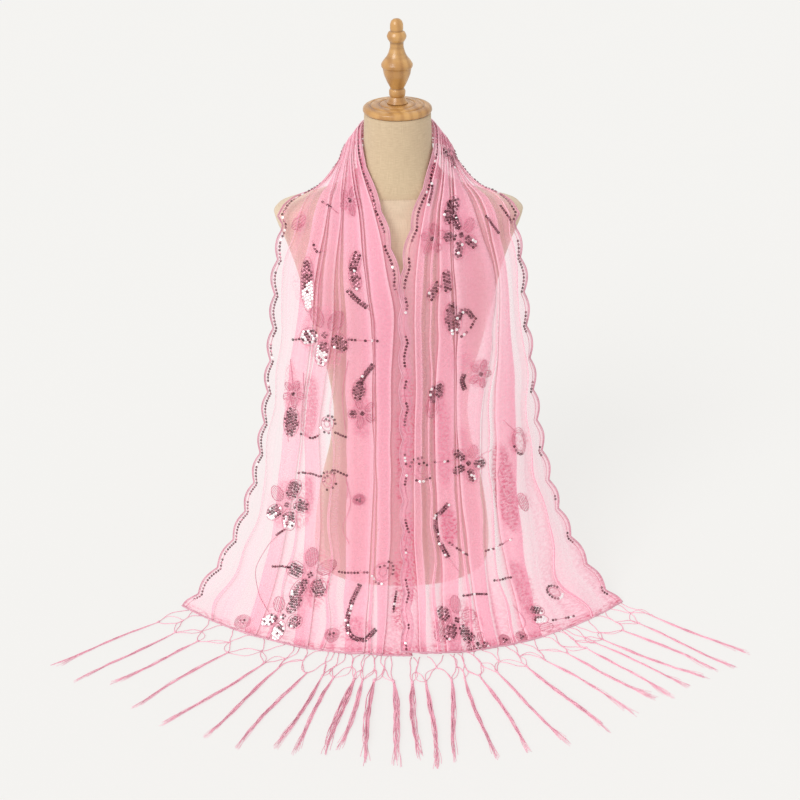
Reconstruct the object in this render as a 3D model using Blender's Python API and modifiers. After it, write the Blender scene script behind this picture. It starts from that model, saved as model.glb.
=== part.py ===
# An evening stole of sheer tulle, worn over a limbless table-top dress form.
# Metres, +Z up.  The origin is the middle of the form's flat underside, the front faces -Y.
# "Lateral" distances are measured from the middle towards one side of the form.

import math

import bmesh
import bpy
import numpy as np
from mathutils import Vector

# ---- driving sizes ---------------------------------------------------------------------
FORM_HEIGHT = 0.850          # underside to the top of the neck
FORM_RING_POINTS = 36
FORM_RING_STEP = 0.045       # about this far between two rings of the form
FORM_EDGE_ROUND = 0.004      # softened lower edge of the form

CAP_RADIUS = 0.0535
CAP_THICKNESS = 0.0135
CAP_RIM_RADIUS = 0.0440      # from here the rim rounds down to the cap's edge
CAP_GROOVES = (0.0275, 0.0415)   # radii of the two turned grooves
CAP_GROOVE_HALF_WIDTH = 0.0025
CAP_SIDES = 28
FINIAL_SIDES = 20
FINIAL_HEIGHT = 0.1255

CLOTH_WALL = 0.001
CLOTH_CLEARANCE = 0.0045     # middle of the cloth wall to the form
PART_GAP = 0.0003            # between pieces that meet
SEAM_GAP = 0.0010            # between two stretches, measured along the folded middle
ROW_STEP = 0.046             # longest step between two rows of the cloth grid
NECK_STEP = 0.025            # the same where the cloth turns round the neck and shoulder
NECK_RUN = 0.310             # how far from the middle of the nape that reaches
NAPE_HALF_RUN = 0.085        # from the middle of the nape to its seam with a fall

SCALLOP_PITCH = 0.058
SCALLOP_DEPTH = 0.0088       # where the cloth hangs free; less where it is gathered
SCALLOP_FULL_WIDTH = 0.190   # width of a row from which the scallops are at full depth
EDGE_STEPS = 4               # edge points for each row of the grid

NET_DEPTH = 0.060            # hem strip to the tassel heads
HEM_LAST_STEP = 0.020        # the net sets off the way the cloth last ran, over this distance
CORD_RADIUS = 0.0010
KNOT_RADIUS = 0.0013
KNOT_SPREAD = 0.30           # half the space between a knot's two cords, in tassel steps
STRIP_OFFSET = 0.0040        # hem of the wall to the middle of the strip
STRIP_STARTS = (0.055, 0.020)    # left and right strip start this share from the middle border
FLOOR_GAP = 0.0006           # underside of the fringe above the floor

# Tassels, from the middle border outwards: place along the hem (0 middle border, 1 outer
# corner), degrees that it fans out from straight ahead, length and width in millimetres.
LEFT_TASSELS = (
    (0.085, -4, 185, 13), (0.130, 6, 180, 14), (0.160, 12, 155, 8), (0.190, 13, 165, 13),
    (0.250, 21, 175, 6), (0.295, 21, 170, 6), (0.335, 32, 190, 6), (0.435, 36, 185, 6),
    (0.475, 46, 210, 7), (0.630, 49, 190, 6), (0.765, 53, 165, 5), (0.880, 50, 190, 4),
    (0.960, 58, 200, 4),
)
RIGHT_TASSELS = (
    (0.040, 1, 165, 13), (0.080, 4, 185, 9), (0.185, 1, 175, 9), (0.215, 11, 180, 6),
    (0.250, 23, 180, 6), (0.300, 33, 190, 5), (0.410, 37, 190, 6), (0.465, 49, 185, 4),
    (0.565, 50, 170, 4), (0.655, 46, 175, 4), (0.685, 55, 180, 4), (0.720, 57, 190, 4),
    (0.830, 55, 175, 4), (0.915, 53, 185, 4), (0.985, 54, 180, 4),
)
# Along a tassel: share of its length, share of its width.
TASSEL_PROFILE = ((0.12, 0.60), (0.32, 1.0), (0.70, 0.95), (1.0, 0.25))
TASSEL_FLATNESS = 0.7        # height over width of a tassel as it lies
TASSEL_TIP = 0.0006          # least half width
TASSEL_SWAY = 0.007

# Horizontal sections of the form: height, half width, front depth, back depth, squareness.
FORM_SECTIONS = (
    (0.000, 0.1620, 0.108, 0.112, 2.30),
    (0.030, 0.1645, 0.111, 0.116, 2.30),
    (0.085, 0.1605, 0.110, 0.117, 2.25),
    (0.165, 0.1475, 0.103, 0.108, 2.20),
    (0.250, 0.1275, 0.092, 0.091, 2.15),
    (0.320, 0.1185, 0.087, 0.079, 2.10),
    (0.390, 0.1245, 0.093, 0.083, 2.10),
    (0.450, 0.1380, 0.106, 0.092, 2.15),
    (0.530, 0.1550, 0.120, 0.101, 2.25),
    (0.600, 0.1690, 0.113, 0.103, 2.35),
    (0.650, 0.1845, 0.095, 0.099, 2.40),
    (0.682, 0.1970, 0.080, 0.091, 2.40),
    (0.696, 0.2000, 0.073, 0.085, 2.35),
    (0.703, 0.1870, 0.070, 0.081, 2.25),
    (0.709, 0.1640, 0.068, 0.077, 2.20),
    (0.716, 0.1400, 0.066, 0.073, 2.15),
    (0.726, 0.1120, 0.064, 0.068, 2.10),
    (0.738, 0.0880, 0.062, 0.064, 2.05),
    (0.752, 0.0710, 0.059, 0.060, 2.00),
    (0.775, 0.0585, 0.0555, 0.0565, 2.00),
    (0.805, 0.0535, 0.0530, 0.0535, 2.00),
    (FORM_HEIGHT, 0.0515, 0.0515, 0.0515, 2.00),
)

# Rows of the worn cloth, from the nape down one side: neck edge (lateral, y, z), outer edge
# (lateral, y, z), how far the middle bows away from the straight line between them, spacing of
# folded layers, and how far the left and the right half run past the middle of the chest.
ROWS = (
    ((0.000, 0.0590, 0.8360), (0.000, 0.0720, 0.7760), 0.004, 0.0028, 0.000, 0.000),
    ((0.036, 0.0470, 0.8340), (0.050, 0.0620, 0.7790), 0.004, 0.0028, 0.000, 0.000),
    ((0.056, 0.0100, 0.8240), (0.080, 0.0400, 0.7840), 0.004, 0.0028, 0.000, 0.000),
    ((0.0545, -0.018, 0.8020), (0.096, 0.0270, 0.7600), 0.004, 0.0028, 0.000, 0.000),
    ((0.047, -0.0390, 0.7760), (0.117, 0.0140, 0.7370), 0.004, 0.0040, 0.000, 0.000),
    ((0.036, -0.0590, 0.7500), (0.143, 0.0020, 0.7210), 0.005, 0.0036, 0.000, 0.000),
    ((0.023, -0.0790, 0.7200), (0.167, -0.0150, 0.7060), 0.007, 0.0036, 0.000, 0.000),
    ((0.013, -0.0980, 0.6890), (0.187, -0.0420, 0.6790), 0.009, 0.0036, 0.000, 0.000),
    ((0.006, -0.1160, 0.6510), (0.199, -0.0560, 0.6410), 0.012, 0.0036, 0.003, 0.002),
    ((0.003, -0.1290, 0.6080), (0.206, -0.0640, 0.5980), 0.015, 0.0036, 0.010, 0.005),
    ((0.000, -0.1360, 0.5500), (0.211, -0.0700, 0.5420), 0.018, 0.0038, 0.016, 0.005),
    ((0.000, -0.1410, 0.4700), (0.222, -0.0770, 0.4620), 0.022, 0.0040, 0.018, 0.005),
    ((0.000, -0.1470, 0.3700), (0.236, -0.0850, 0.3640), 0.025, 0.0040, 0.018, 0.005),
    ((0.000, -0.1560, 0.2700), (0.256, -0.0950, 0.2640), 0.028, 0.0040, 0.018, 0.005),
    ((0.000, -0.1700, 0.1800), (0.284, -0.1060, 0.1760), 0.031, 0.0038, 0.018, 0.005),
    ((0.000, -0.1880, 0.1080), (0.316, -0.1180, 0.1060), 0.034, 0.0036, 0.018, 0.005),
    ((0.000, -0.2140, 0.0500), (0.352, -0.1320, 0.0500), 0.036, 0.0032, 0.018, 0.005),
    ((0.000, -0.2500, 0.0150), (0.378, -0.1440, 0.0160), 0.037, 0.0028, 0.018, 0.005),
    ((0.000, -0.2900, 0.0000), (0.396, -0.1560, 0.0000), 0.038, 0.0026, 0.018, 0.005),
)
SHOULDER_ROW = 6             # where the outer edge bridges the end of the shoulder,
SHOULDER_SPARE = 0.005       # this much further off the form
SHOULDER_REACH = 0.070
OVERLAP_LIFT = 0.011         # the right half's neck border stands this far off the left half
OVERLAP_FIRST_ROW = 8        # where the two halves start to meet
OVERLAP_SHARE = 0.30         # share of the right half's width that is lifted
OVERLAP_RISE = 0.12          # the lift takes this much of the run to reach its height

# Knife pleats: name, places as a share of the width (0 neck edge, 1 outer edge), and widths in
# millimetres over which the cloth lies threefold, at seven stations down the fall.
STATION_ROWS = (0, 3, 6, 9, 12, 14, 18)      # nape, collar, shoulder, chest, waist, thigh, hem
LEFT_PLEATS = (
    ("border", (0.15, 0.15, 0.145, 0.16, 0.17, 0.15, 0.13), (5, 6, 18, 30, 22, 22, 12)),
    ("inner", (0.35, 0.35, 0.32, 0.335, 0.315, 0.285, 0.23), (5, 6, 22, 38, 44, 43, 34)),
    ("middle", (0.55, 0.55, 0.475, 0.53, 0.62, 0.545, 0.44), (5, 6, 16, 20, 27, 28, 26)),
    ("outer", (0.75, 0.75, 0.62, 0.69, 0.762, 0.735, 0.66), (5, 6, 20, 26, 33, 27, 24)),
)
RIGHT_PLEATS = (
    ("border", (0.15, 0.15, 0.14, 0.14, 0.12, 0.10, 0.09), (5, 6, 12, 12, 12, 14, 12)),
    ("inner", (0.35, 0.35, 0.31, 0.335, 0.295, 0.27, 0.21), (5, 6, 14, 20, 32, 30, 26)),
    ("broad", (0.55, 0.55, 0.50, 0.565, 0.46, 0.42, 0.36), (5, 6, 20, 68, 40, 30, 22)),
    ("outer", (0.75, 0.75, 0.74, 0.79, 0.72, 0.64, 0.55), (5, 6, 14, 16, 38, 38, 28)),
)
# Between two pleats the top layer slopes back: share of the space, height in layers.
SLOPE = ((0.14, 1.8), (0.45, 0.8), (0.72, 0.1))
BORDER_SLOPE = ((0.12, 1.8), (0.32, 0.8), (0.52, 0.1))      # the same before the outer edge

COLOURS = {                  # linear RGB, metallic, roughness
    "linen": ((0.650, 0.500, 0.375), 0.0, 0.85),
    "wood": ((0.560, 0.300, 0.110), 0.0, 0.35),
    "tulle": ((0.780, 0.330, 0.420), 0.0, 0.60),
    "fringe": ((0.760, 0.350, 0.440), 0.0, 0.70),
}


# ---- scene, materials and tables --------------------------------------------------------
def clear_scene():
    for old in list(bpy.data.objects):
        bpy.data.objects.remove(old, do_unlink=True)


def new_collection(name):
    collection = bpy.data.collections.new(name)
    bpy.context.scene.collection.children.link(collection)
    return collection


def material(name):
    colour, metallic, roughness = COLOURS[name]
    made = bpy.data.materials.new(name)
    made.use_nodes = True
    shader = made.node_tree.nodes["Principled BSDF"]
    shader.inputs["Base Color"].default_value = (*colour, 1.0)
    shader.inputs["Metallic"].default_value = metallic
    shader.inputs["Roughness"].default_value = roughness
    return made


def add_object(name, mesh, finish, collection):
    obj = bpy.data.objects.new(name, mesh)
    collection.objects.link(obj)
    mesh.materials.append(finish)
    return obj


def smooth_table(knots, values, at):
    """A smooth curve through a table's rows that never overshoots them (monotone cubic)."""
    knots = np.asarray(knots, float)
    values = np.asarray(values, float)
    steps = np.diff(knots)
    slopes = np.diff(values, axis=0) / steps.reshape(-1, *([1] * (values.ndim - 1)))
    before, after = slopes[:-1], slopes[1:]
    same_way = before * after > 0.0
    safe = np.where(same_way, before + after, 1.0)
    bends = np.where(same_way, 2.0 * before * after / safe, 0.0)
    bends = np.concatenate([slopes[:1], bends, slopes[-1:]])
    at = np.clip(np.asarray(at, float), knots[0], knots[-1])
    index = np.clip(np.searchsorted(knots, at, side="right") - 1, 0, len(steps) - 1)
    width = steps[index]
    share = (at - knots[index]) / width
    shape = share.shape + (1,) * (values.ndim - 1)
    share, width = share.reshape(shape), width.reshape(shape)
    return (values[index] * (2 * share**3 - 3 * share**2 + 1)
            + values[index + 1] * (3 * share**2 - 2 * share**3)
            + bends[index] * width * (share**3 - 2 * share**2 + share)
            + bends[index + 1] * width * (share**3 - share**2))


def soft_step(share):
    share = np.clip(share, 0.0, 1.0)
    return share * share * (3.0 - 2.0 * share)


# ---- dress form -------------------------------------------------------------------------
FORM_TABLE = np.array(FORM_SECTIONS)


def form_section(height):
    """Half width, front depth, back depth and squareness of the form at each height."""
    section = smooth_table(FORM_TABLE[:, 0], FORM_TABLE[:, 1:], height)
    return section[..., 0], section[..., 1], section[..., 2], section[..., 3]


def form_reach(points):
    """1 on the form's surface, less inside it, more outside it."""
    x, y, z = points[..., 0], points[..., 1], points[..., 2]
    half_width, front, back, squareness = form_section(z)
    depth = np.where(y < 0.0, front, back)
    across = np.abs(x / half_width) ** squareness
    through = np.abs(y / depth) ** squareness
    return (across + through) ** (1.0 / squareness)


def rest_on_form(points, clearance):
    """Move points out of the form, square to its surface, until they clear it."""
    step, furthest = 0.0004, 0.02
    for _ in range(4):
        reach = form_reach(points)
        slope = np.stack([
            (form_reach(points + np.eye(3)[axis] * step)
             - form_reach(points - np.eye(3)[axis] * step)) / (2.0 * step)
            for axis in range(3)], axis=-1)
        steepness = np.linalg.norm(slope, axis=-1) + 1e-9
        distance = (reach - 1.0) / steepness
        short = np.clip(clearance - distance, 0.0, furthest)
        points = points + slope / steepness[..., None] * short[..., None]
    return points


def build_form(finish, collection):
    heights = [0.0, FORM_EDGE_ROUND]
    for low, high in zip(FORM_TABLE[:-1, 0], FORM_TABLE[1:, 0]):
        parts = max(1, round((high - low) / FORM_RING_STEP))
        heights += [low + (high - low) * (i + 1) / parts for i in range(parts)]
    builder = bmesh.new()
    rings = []
    for height in heights:
        half_width, front, back, squareness = (float(v) for v in form_section(height))
        if height == 0.0:
            half_width, front, back = (v - FORM_EDGE_ROUND for v in (half_width, front, back))
        ring = []
        for i in range(FORM_RING_POINTS):
            angle = 2.0 * math.pi * i / FORM_RING_POINTS
            side, fore = math.cos(angle), math.sin(angle)
            depth = front if fore < 0.0 else back
            x = half_width * math.copysign(abs(side) ** (2.0 / squareness), side)
            y = depth * math.copysign(abs(fore) ** (2.0 / squareness), fore)
            ring.append(builder.verts.new((x, y, height)))
        rings.append(ring)
    for lower, upper in zip(rings, rings[1:]):
        for i in range(FORM_RING_POINTS):
            j = (i + 1) % FORM_RING_POINTS
            builder.faces.new((lower[i], lower[j], upper[j], upper[i]))
    builder.faces.new(list(reversed(rings[0])))
    builder.faces.new(rings[-1])
    mesh = bpy.data.meshes.new("form_body")
    builder.to_mesh(mesh)
    builder.free()
    mesh.shade_smooth()
    return add_object("form_body", mesh, finish, collection)


# ---- turned cap and finial --------------------------------------------------------------
def turned(name, profile, base_height, sides, finish, collection):
    """A solid of revolution: its profile runs from the top, down the outer side."""
    mesh = bpy.data.meshes.new(name)
    points = [(radius, 0.0, base_height + height) for radius, height in profile]
    mesh.from_pydata(points, [(i, i + 1) for i in range(len(points) - 1)], [])
    obj = add_object(name, mesh, finish, collection)
    screw = obj.modifiers.new("turn", "SCREW")
    screw.axis = "Z"
    screw.steps = sides
    screw.render_steps = sides
    screw.use_merge_vertices = True
    screw.merge_threshold = 0.0001
    screw.use_smooth_shade = True
    return obj


def build_cap(finish, collection):
    top, edge, half = CAP_THICKNESS, CAP_RADIUS, CAP_GROOVE_HALF_WIDTH
    inner, outer = CAP_GROOVES
    profile = [(0.0, top), (inner - half, top), (inner, top - 0.0017),
               (inner + half, top - 0.0005), (outer - half, top - 0.0013),
               (outer, top - 0.0031), (CAP_RIM_RADIUS, top - 0.0019),
               (edge - 0.0035, top - 0.0035), (edge - 0.0007, top - 0.0060),
               (edge, top - 0.0095), (edge - 0.0010, 0.0012), (edge - 0.0040, 0.0), (0.0, 0.0)]
    base = FORM_HEIGHT + PART_GAP
    return turned("neck_cap", profile, base, CAP_SIDES, finish, collection)


def build_finial(finish, collection):
    """A rounded tip and a bead over a flaring neck, a ridged bowl, a ring and a foot."""
    top = FINIAL_HEIGHT
    profile = [(0.0, top), (0.0045, top - 0.0007), (0.0080, top - 0.0033), (0.0098, top - 0.0080),
               (0.0100, top - 0.0145), (0.0096, top - 0.0180), (0.0122, top - 0.0195),
               (0.0148, top - 0.0252), (0.0135, top - 0.0300), (0.0104, top - 0.0341),
               (0.0103, 0.0838), (0.0129, 0.0752), (0.0158, 0.0699), (0.0205, 0.0646),
               (0.0240, 0.0588), (0.0226, 0.0541), (0.0216, 0.0514), (0.0200, 0.0432),
               (0.0155, 0.0325), (0.0120, 0.0260), (0.0105, 0.0224), (0.0124, 0.0200),
               (0.0126, 0.0160), (0.0122, 0.0118), (0.0112, 0.0102), (0.0118, 0.0085),
               (0.0135, 0.0050), (0.0160, 0.0015), (0.0160, 0.0), (0.0, 0.0)]
    base = FORM_HEIGHT + CAP_THICKNESS + 2.0 * PART_GAP
    return turned("finial", profile, base, FINIAL_SIDES, finish, collection)


# ---- the worn cloth ---------------------------------------------------------------------
def whole_run():
    """Rows of the whole stole, left hem to right hem, with the distance walked along it."""
    edges, extras = [], []
    for side, rows in ((-1.0, ROWS[:0:-1]), (1.0, ROWS)):
        for neck_edge, outer_edge, bow, layer_gap, left_past, right_past in rows:
            past = left_past if side < 0.0 else right_past
            inner = Vector((side * (neck_edge[0] - past), neck_edge[1], neck_edge[2]))
            outer = Vector((side * outer_edge[0], outer_edge[1], outer_edge[2]))
            edges.append((*inner, *outer))
            extras.append((bow, layer_gap))
    edges, extras = np.array(edges), np.array(extras)
    middles = (edges[:, :3] + edges[:, 3:]) / 2.0
    runs = np.concatenate([[0.0], np.cumsum(np.linalg.norm(np.diff(middles, axis=0), axis=1))])
    return runs - runs[len(ROWS) - 1], edges, extras


RUNS, EDGES, EXTRAS = whole_run()
MIDDLE_ROW = len(ROWS) - 1


def unbowed(run, share):
    edges = smooth_table(RUNS, EDGES, run)
    return edges[..., :3] * (1.0 - share[..., None]) + edges[..., 3:] * share[..., None]


def outward(surface, run, share):
    """Unit vector away from the form, square to a surface of (run, share)."""
    small_run, small_share = 0.008, 0.05
    along = surface(run + small_run, share) - surface(run - small_run, share)
    across = surface(run, share + small_share) - surface(run, share - small_share)
    normal = np.cross(along, across)
    return normal / (np.linalg.norm(normal, axis=-1, keepdims=True) + 1e-12)


def bare_cloth(run, share):
    """Middle of the cloth wall without its pleats, resting on the form where it touches it."""
    run = np.clip(run, RUNS[0], RUNS[-1])
    extras = smooth_table(RUNS, EXTRAS, run)
    normal = outward(unbowed, run, share)
    level = normal * (1.0, 1.0, 0.0)
    level = level / np.linalg.norm(level, axis=-1, keepdims=True)
    bow = extras[..., 0] * 4.0 * share * (1.0 - share)
    start = RUNS[MIDDLE_ROW + OVERLAP_FIRST_ROW]
    over = soft_step((run - start) / OVERLAP_RISE) * soft_step((OVERLAP_SHARE - share) / OVERLAP_SHARE)
    points = unbowed(run, share) + level * bow[..., None] + normal * OVERLAP_LIFT * over[..., None]
    past_shoulder = (np.abs(run) - RUNS[MIDDLE_ROW + SHOULDER_ROW]) / SHOULDER_REACH
    spare = SHOULDER_SPARE * share * np.exp(-past_shoulder**2)
    return rest_on_form(points, CLOTH_CLEARANCE + spare)


def worn_cloth(run, share, layers):
    """A point of the pleated cloth: layers counts folded thicknesses off the form."""
    normal = outward(bare_cloth, run, share)
    layer_gap = smooth_table(RUNS, EXTRAS, run)[..., 1]
    points = bare_cloth(run, share) + normal * (layer_gap * layers)[..., None]
    points[..., 2] = np.maximum(points[..., 2], CLOTH_WALL / 2.0)
    return points


def row_width(run):
    edges = smooth_table(RUNS, EDGES, run)
    return np.linalg.norm(edges[..., 3:] - edges[..., :3], axis=-1)


def pleat_path(run):
    """(share, layers) of each grid point of one row, neck edge to outer edge."""
    pleats = LEFT_PLEATS if run < 0.0 else RIGHT_PLEATS
    stations = [RUNS[MIDDLE_ROW + row] for row in STATION_ROWS]
    width = float(row_width(run))
    path = [(0.0, 0.0)]
    for _, places, widths_mm in pleats:
        place = float(smooth_table(stations, places, abs(run)))
        half = float(smooth_table(stations, widths_mm, abs(run))) / 1000.0 / width / 2.0
        if len(path) > 1:
            path += slope_back(path[-1], place - half)
        path += [(place + half, 0.0), (place + half, 1.0), (place - half, 1.0),
                 (place - half, 2.0), (place + half, 2.0)]
    path += slope_back(path[-1], 1.0, BORDER_SLOPE)
    path.append((1.0, 0.0))
    return path


def slope_back(start, goal_share, slope=SLOPE):
    """Points between one pleat's outer fold and the next pleat (or an edge)."""
    share, layers = start
    return [(share + (goal_share - share) * part, layers * height / 2.0) for part, height in slope]


def scallop_inset(run):
    """Share of the width by which the scalloped edge falls short of its outermost line."""
    width = row_width(run)
    depth = SCALLOP_DEPTH * np.minimum(1.0, width / SCALLOP_FULL_WIDTH)
    return depth / width * (1.0 - np.abs(np.sin(math.pi * run / SCALLOP_PITCH)))


def row_runs(first, last):
    """Grid rows between two places, closer together round the neck and shoulder."""
    turns = [r for r in (-NECK_RUN, NECK_RUN) if first < r < last]
    runs = [first]
    for low, high in zip([first] + turns, turns + [last]):
        step = NECK_STEP if abs(low + high) / 2.0 < NECK_RUN else ROW_STEP
        parts = max(1, math.ceil((high - low) / step))
        runs += [low + (high - low) * (i + 1) / parts for i in range(parts)]
    return runs


def build_stretch(name, first, last, finish, collection):
    """One stretch of the stole: a pleated grid with finely stepped scalloped edges."""
    runs = row_runs(first, last)
    fine = []
    for low, high in zip(runs, runs[1:]):
        fine += [low + (high - low) * i / EDGE_STEPS for i in range(EDGE_STEPS)]
    fine.append(runs[-1])
    builder = bmesh.new()
    paths = [pleat_path(run) for run in runs]
    grid = []
    for run, path in zip(runs, paths):
        shares, layers = np.array(path[1:-1]).T
        points = worn_cloth(np.full(len(shares), run), shares, layers)
        grid.append([builder.verts.new(point) for point in points])
    borders = []
    for edge_share, inward in ((0.0, 1.0), (1.0, -1.0)):
        at = np.array(fine)
        points = worn_cloth(at, edge_share + inward * scallop_inset(at), np.zeros(len(fine)))
        borders.append([builder.verts.new(point) for point in points])
    for row, next_row in zip(grid, grid[1:]):
        for i in range(len(row) - 1):
            builder.faces.new((row[i], next_row[i], next_row[i + 1], row[i + 1]))
    for border, column, flip in ((borders[0], 0, False), (borders[1], -1, True)):
        for r in range(len(grid) - 1):
            near, far = grid[r][column], grid[r + 1][column]
            steps = border[r * EDGE_STEPS:(r + 1) * EDGE_STEPS + 1]
            half = EDGE_STEPS // 2
            faces = [(near, steps[i], steps[i + 1]) for i in range(half)]
            faces += [(far, steps[i], steps[i + 1]) for i in range(half, EDGE_STEPS)]
            faces.append((near, steps[half], far))
            for face in faces:
                builder.faces.new(face if flip else tuple(reversed(face)))
    bmesh.ops.recalc_face_normals(builder, faces=builder.faces)
    face_out(builder)
    mesh = bpy.data.meshes.new(name)
    builder.to_mesh(mesh)
    builder.free()
    obj = add_object(name, mesh, finish, collection)
    wall = obj.modifiers.new("wall", "SOLIDIFY")
    wall.thickness = CLOTH_WALL
    wall.offset = 0.0
    wall.use_even_offset = False
    return obj


def face_out(builder):
    """Turn an open sheet so that its faces look away from the form's axis."""
    facing = sum(face.normal.dot(Vector((face.calc_center_median().x,
                                         face.calc_center_median().y, 0.0))) * face.calc_area()
                 for face in builder.faces)
    if facing < 0.0:
        bmesh.ops.reverse_faces(builder, faces=builder.faces)


# ---- fringe -----------------------------------------------------------------------------
def hem_point(side, share, beyond, fan=0.0):
    """A place on the floor past the hem: share 0 at the middle border, 1 at the outer corner."""
    run = RUNS[0] if side < 0.0 else RUNS[-1]
    above = run - side * HEM_LAST_STEP
    hem, above = bare_cloth(np.array([run, above]), np.array([share, share]))
    out = Vector((hem[0] - above[0], hem[1] - above[1], 0.0)).normalized()
    out = out.lerp(fan_way(side, fan), min(1.0, beyond / NET_DEPTH)).normalized()
    return Vector((hem[0], hem[1], 0.0)) + out * beyond


def fan_way(side, angle):
    """Level direction this far round from straight ahead, towards one side."""
    return Vector((side * math.sin(angle), -math.cos(angle), 0.0))


class FloorNet:
    """Cords of square section that lie on the floor, fused where they meet."""

    def __init__(self):
        self.points = []
        self.radii = []
        self.heights = []
        self.cords = []

    def add_point(self, place, radius, flatness=1.0):
        self.points.append(Vector((place.x, place.y)))
        self.radii.append(radius)
        self.heights.append(2.0 * radius * flatness)
        return len(self.points) - 1

    def add_cord(self, *indices):
        self.cords += list(zip(indices, indices[1:]))

    def around(self, index):
        """The cords that leave a point, in turning order."""
        others = [b if a == index else a for a, b in self.cords if index in (a, b)]
        middle = self.points[index]
        return sorted(others, key=lambda o: math.atan2(self.points[o].y - middle.y,
                                                       self.points[o].x - middle.x))

    def corners(self, index, builder):
        """Upper and lower corner between each cord and the next one round a point."""
        middle, radius = self.points[index], self.radii[index]
        top = FLOOR_GAP + self.heights[index]
        others = self.around(index)
        heading = [math.atan2(self.points[o].y - middle.y, self.points[o].x - middle.x)
                   for o in others]
        made = {}
        for i, other in enumerate(others):
            opening = (heading[(i + 1) % len(others)] - heading[i]) % (2.0 * math.pi)
            if len(others) == 1:
                angles = ((heading[0] + math.pi / 2.0, 1.0), (heading[0] - math.pi / 2.0, 1.0))
            else:
                reach = 1.0 / max(0.25, math.sin(opening / 2.0))
                angles = ((heading[i] + opening / 2.0, reach),)
            pairs = []
            for angle, reach in angles:
                spot = middle + Vector((math.cos(angle), math.sin(angle))) * radius * reach
                pairs.append((builder.verts.new((spot.x, spot.y, top)),
                              builder.verts.new((spot.x, spot.y, FLOOR_GAP))))
            made[other] = pairs
        return others, made

    def to_mesh(self, name):
        builder = bmesh.new()
        left, right = {}, {}
        for index in range(len(self.points)):
            others, made = self.corners(index, builder)
            for i, other in enumerate(others):
                left[index, other] = made[other][0]
                right[index, other] = made[others[i - 1]][-1]
            if len(others) > 2:
                builder.faces.new([made[other][0][0] for other in others])
                builder.faces.new([made[other][0][1] for other in reversed(others)])
            elif len(others) == 1:
                (top_a, low_a), (top_b, low_b) = made[others[0]]
                builder.faces.new((top_a, top_b, low_b, low_a))
        for a, b in self.cords:
            (top_al, low_al), (top_ar, low_ar) = left[a, b], right[a, b]
            (top_bl, low_bl), (top_br, low_br) = left[b, a], right[b, a]
            builder.faces.new((top_ar, top_bl, top_br, top_al))
            builder.faces.new((low_al, low_br, low_bl, low_ar))
            builder.faces.new((top_al, top_br, low_br, low_al))
            builder.faces.new((top_bl, top_ar, low_ar, low_bl))
        bmesh.ops.recalc_face_normals(builder, faces=builder.faces)
        mesh = bpy.data.meshes.new(name)
        builder.to_mesh(mesh)
        builder.free()
        return mesh


def build_fringe(name, side, tassels, finish, collection):
    """Hem strip, two staggered rows of knotted net and a fan of tapering tassels."""
    net = FloorNet()
    places = [place for place, _, _, _ in tassels]
    fans = [math.radians(degrees) for _, degrees, _, _ in tassels]
    start = STRIP_STARTS[0] if side < 0.0 else STRIP_STARTS[1]

    def at_step(values, step):
        """A value between two tassels, or carried on past the first and the last."""
        index = min(max(int(math.floor(step)), 0), len(values) - 2)
        return values[index] + (values[index + 1] - values[index]) * (step - index)

    def point(step, depth, radius):
        share = min(max(at_step(places, step), start), 1.0)
        fan = at_step(fans, min(max(step, 0.0), len(fans) - 1.0))
        return net.add_point(hem_point(side, share, depth, fan), radius)

    middle_row = (STRIP_OFFSET + NET_DEPTH) / 2.0
    knots = [point(step - 0.5, middle_row, KNOT_RADIUS) for step in range(1, len(places))]
    heads = [point(step, NET_DEPTH, KNOT_RADIUS) for step in range(len(places))]
    strip = [point(-1.0, STRIP_OFFSET, CORD_RADIUS)]
    for step, knot in enumerate(knots):
        for offset in (-KNOT_SPREAD, KNOT_SPREAD):
            strip.append(point(step + 0.5 + offset, STRIP_OFFSET, CORD_RADIUS))
            net.add_cord(strip[-1], knot)
    strip.append(point(len(places), STRIP_OFFSET, CORD_RADIUS))
    net.add_cord(*strip)
    net.add_cord(strip[0], heads[0])
    net.add_cord(strip[-1], heads[-1])
    for step, (_, _, length_mm, width_mm) in enumerate(tassels):
        head = heads[step]
        for knot in knots[max(step - 1, 0):step + 1]:
            net.add_cord(knot, head)
        way = fan_way(side, fans[step])
        across = Vector((way.y, -way.x, 0.0))
        tassel = [head]
        for part, fullness in TASSEL_PROFILE:
            sway = TASSEL_SWAY * math.sin(2.3 * step + side + 3.0 * part) * part
            spot = net.points[head].to_3d() + way * length_mm / 1000.0 * part + across * sway
            radius = max(width_mm / 2000.0 * fullness, TASSEL_TIP)
            tassel.append(net.add_point(spot, radius, TASSEL_FLATNESS))
        net.add_cord(*tassel)
    return add_object(name, net.to_mesh(name), finish, collection)


# ---- assembly ---------------------------------------------------------------------------
def build():
    clear_scene()
    part = new_collection("evening_stole_on_dress_form")
    finishes = {name: material(name) for name in COLOURS}
    build_form(finishes["linen"], part)
    build_cap(finishes["wood"], part)
    build_finial(finishes["wood"], part)
    seam = NAPE_HALF_RUN
    gap = SEAM_GAP
    tulle = finishes["tulle"]
    build_stretch("stole_left_fall", RUNS[0], -seam - gap, tulle, part)
    build_stretch("stole_nape", -seam, seam, tulle, part)
    build_stretch("stole_right_fall", seam + gap, RUNS[-1], tulle, part)
    build_fringe("fringe_left", -1.0, LEFT_TASSELS, finishes["fringe"], part)
    build_fringe("fringe_right", 1.0, RIGHT_TASSELS, finishes["fringe"], part)


build()
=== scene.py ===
import math

import bpy
import numpy as np
from mathutils import Matrix, Vector


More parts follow.
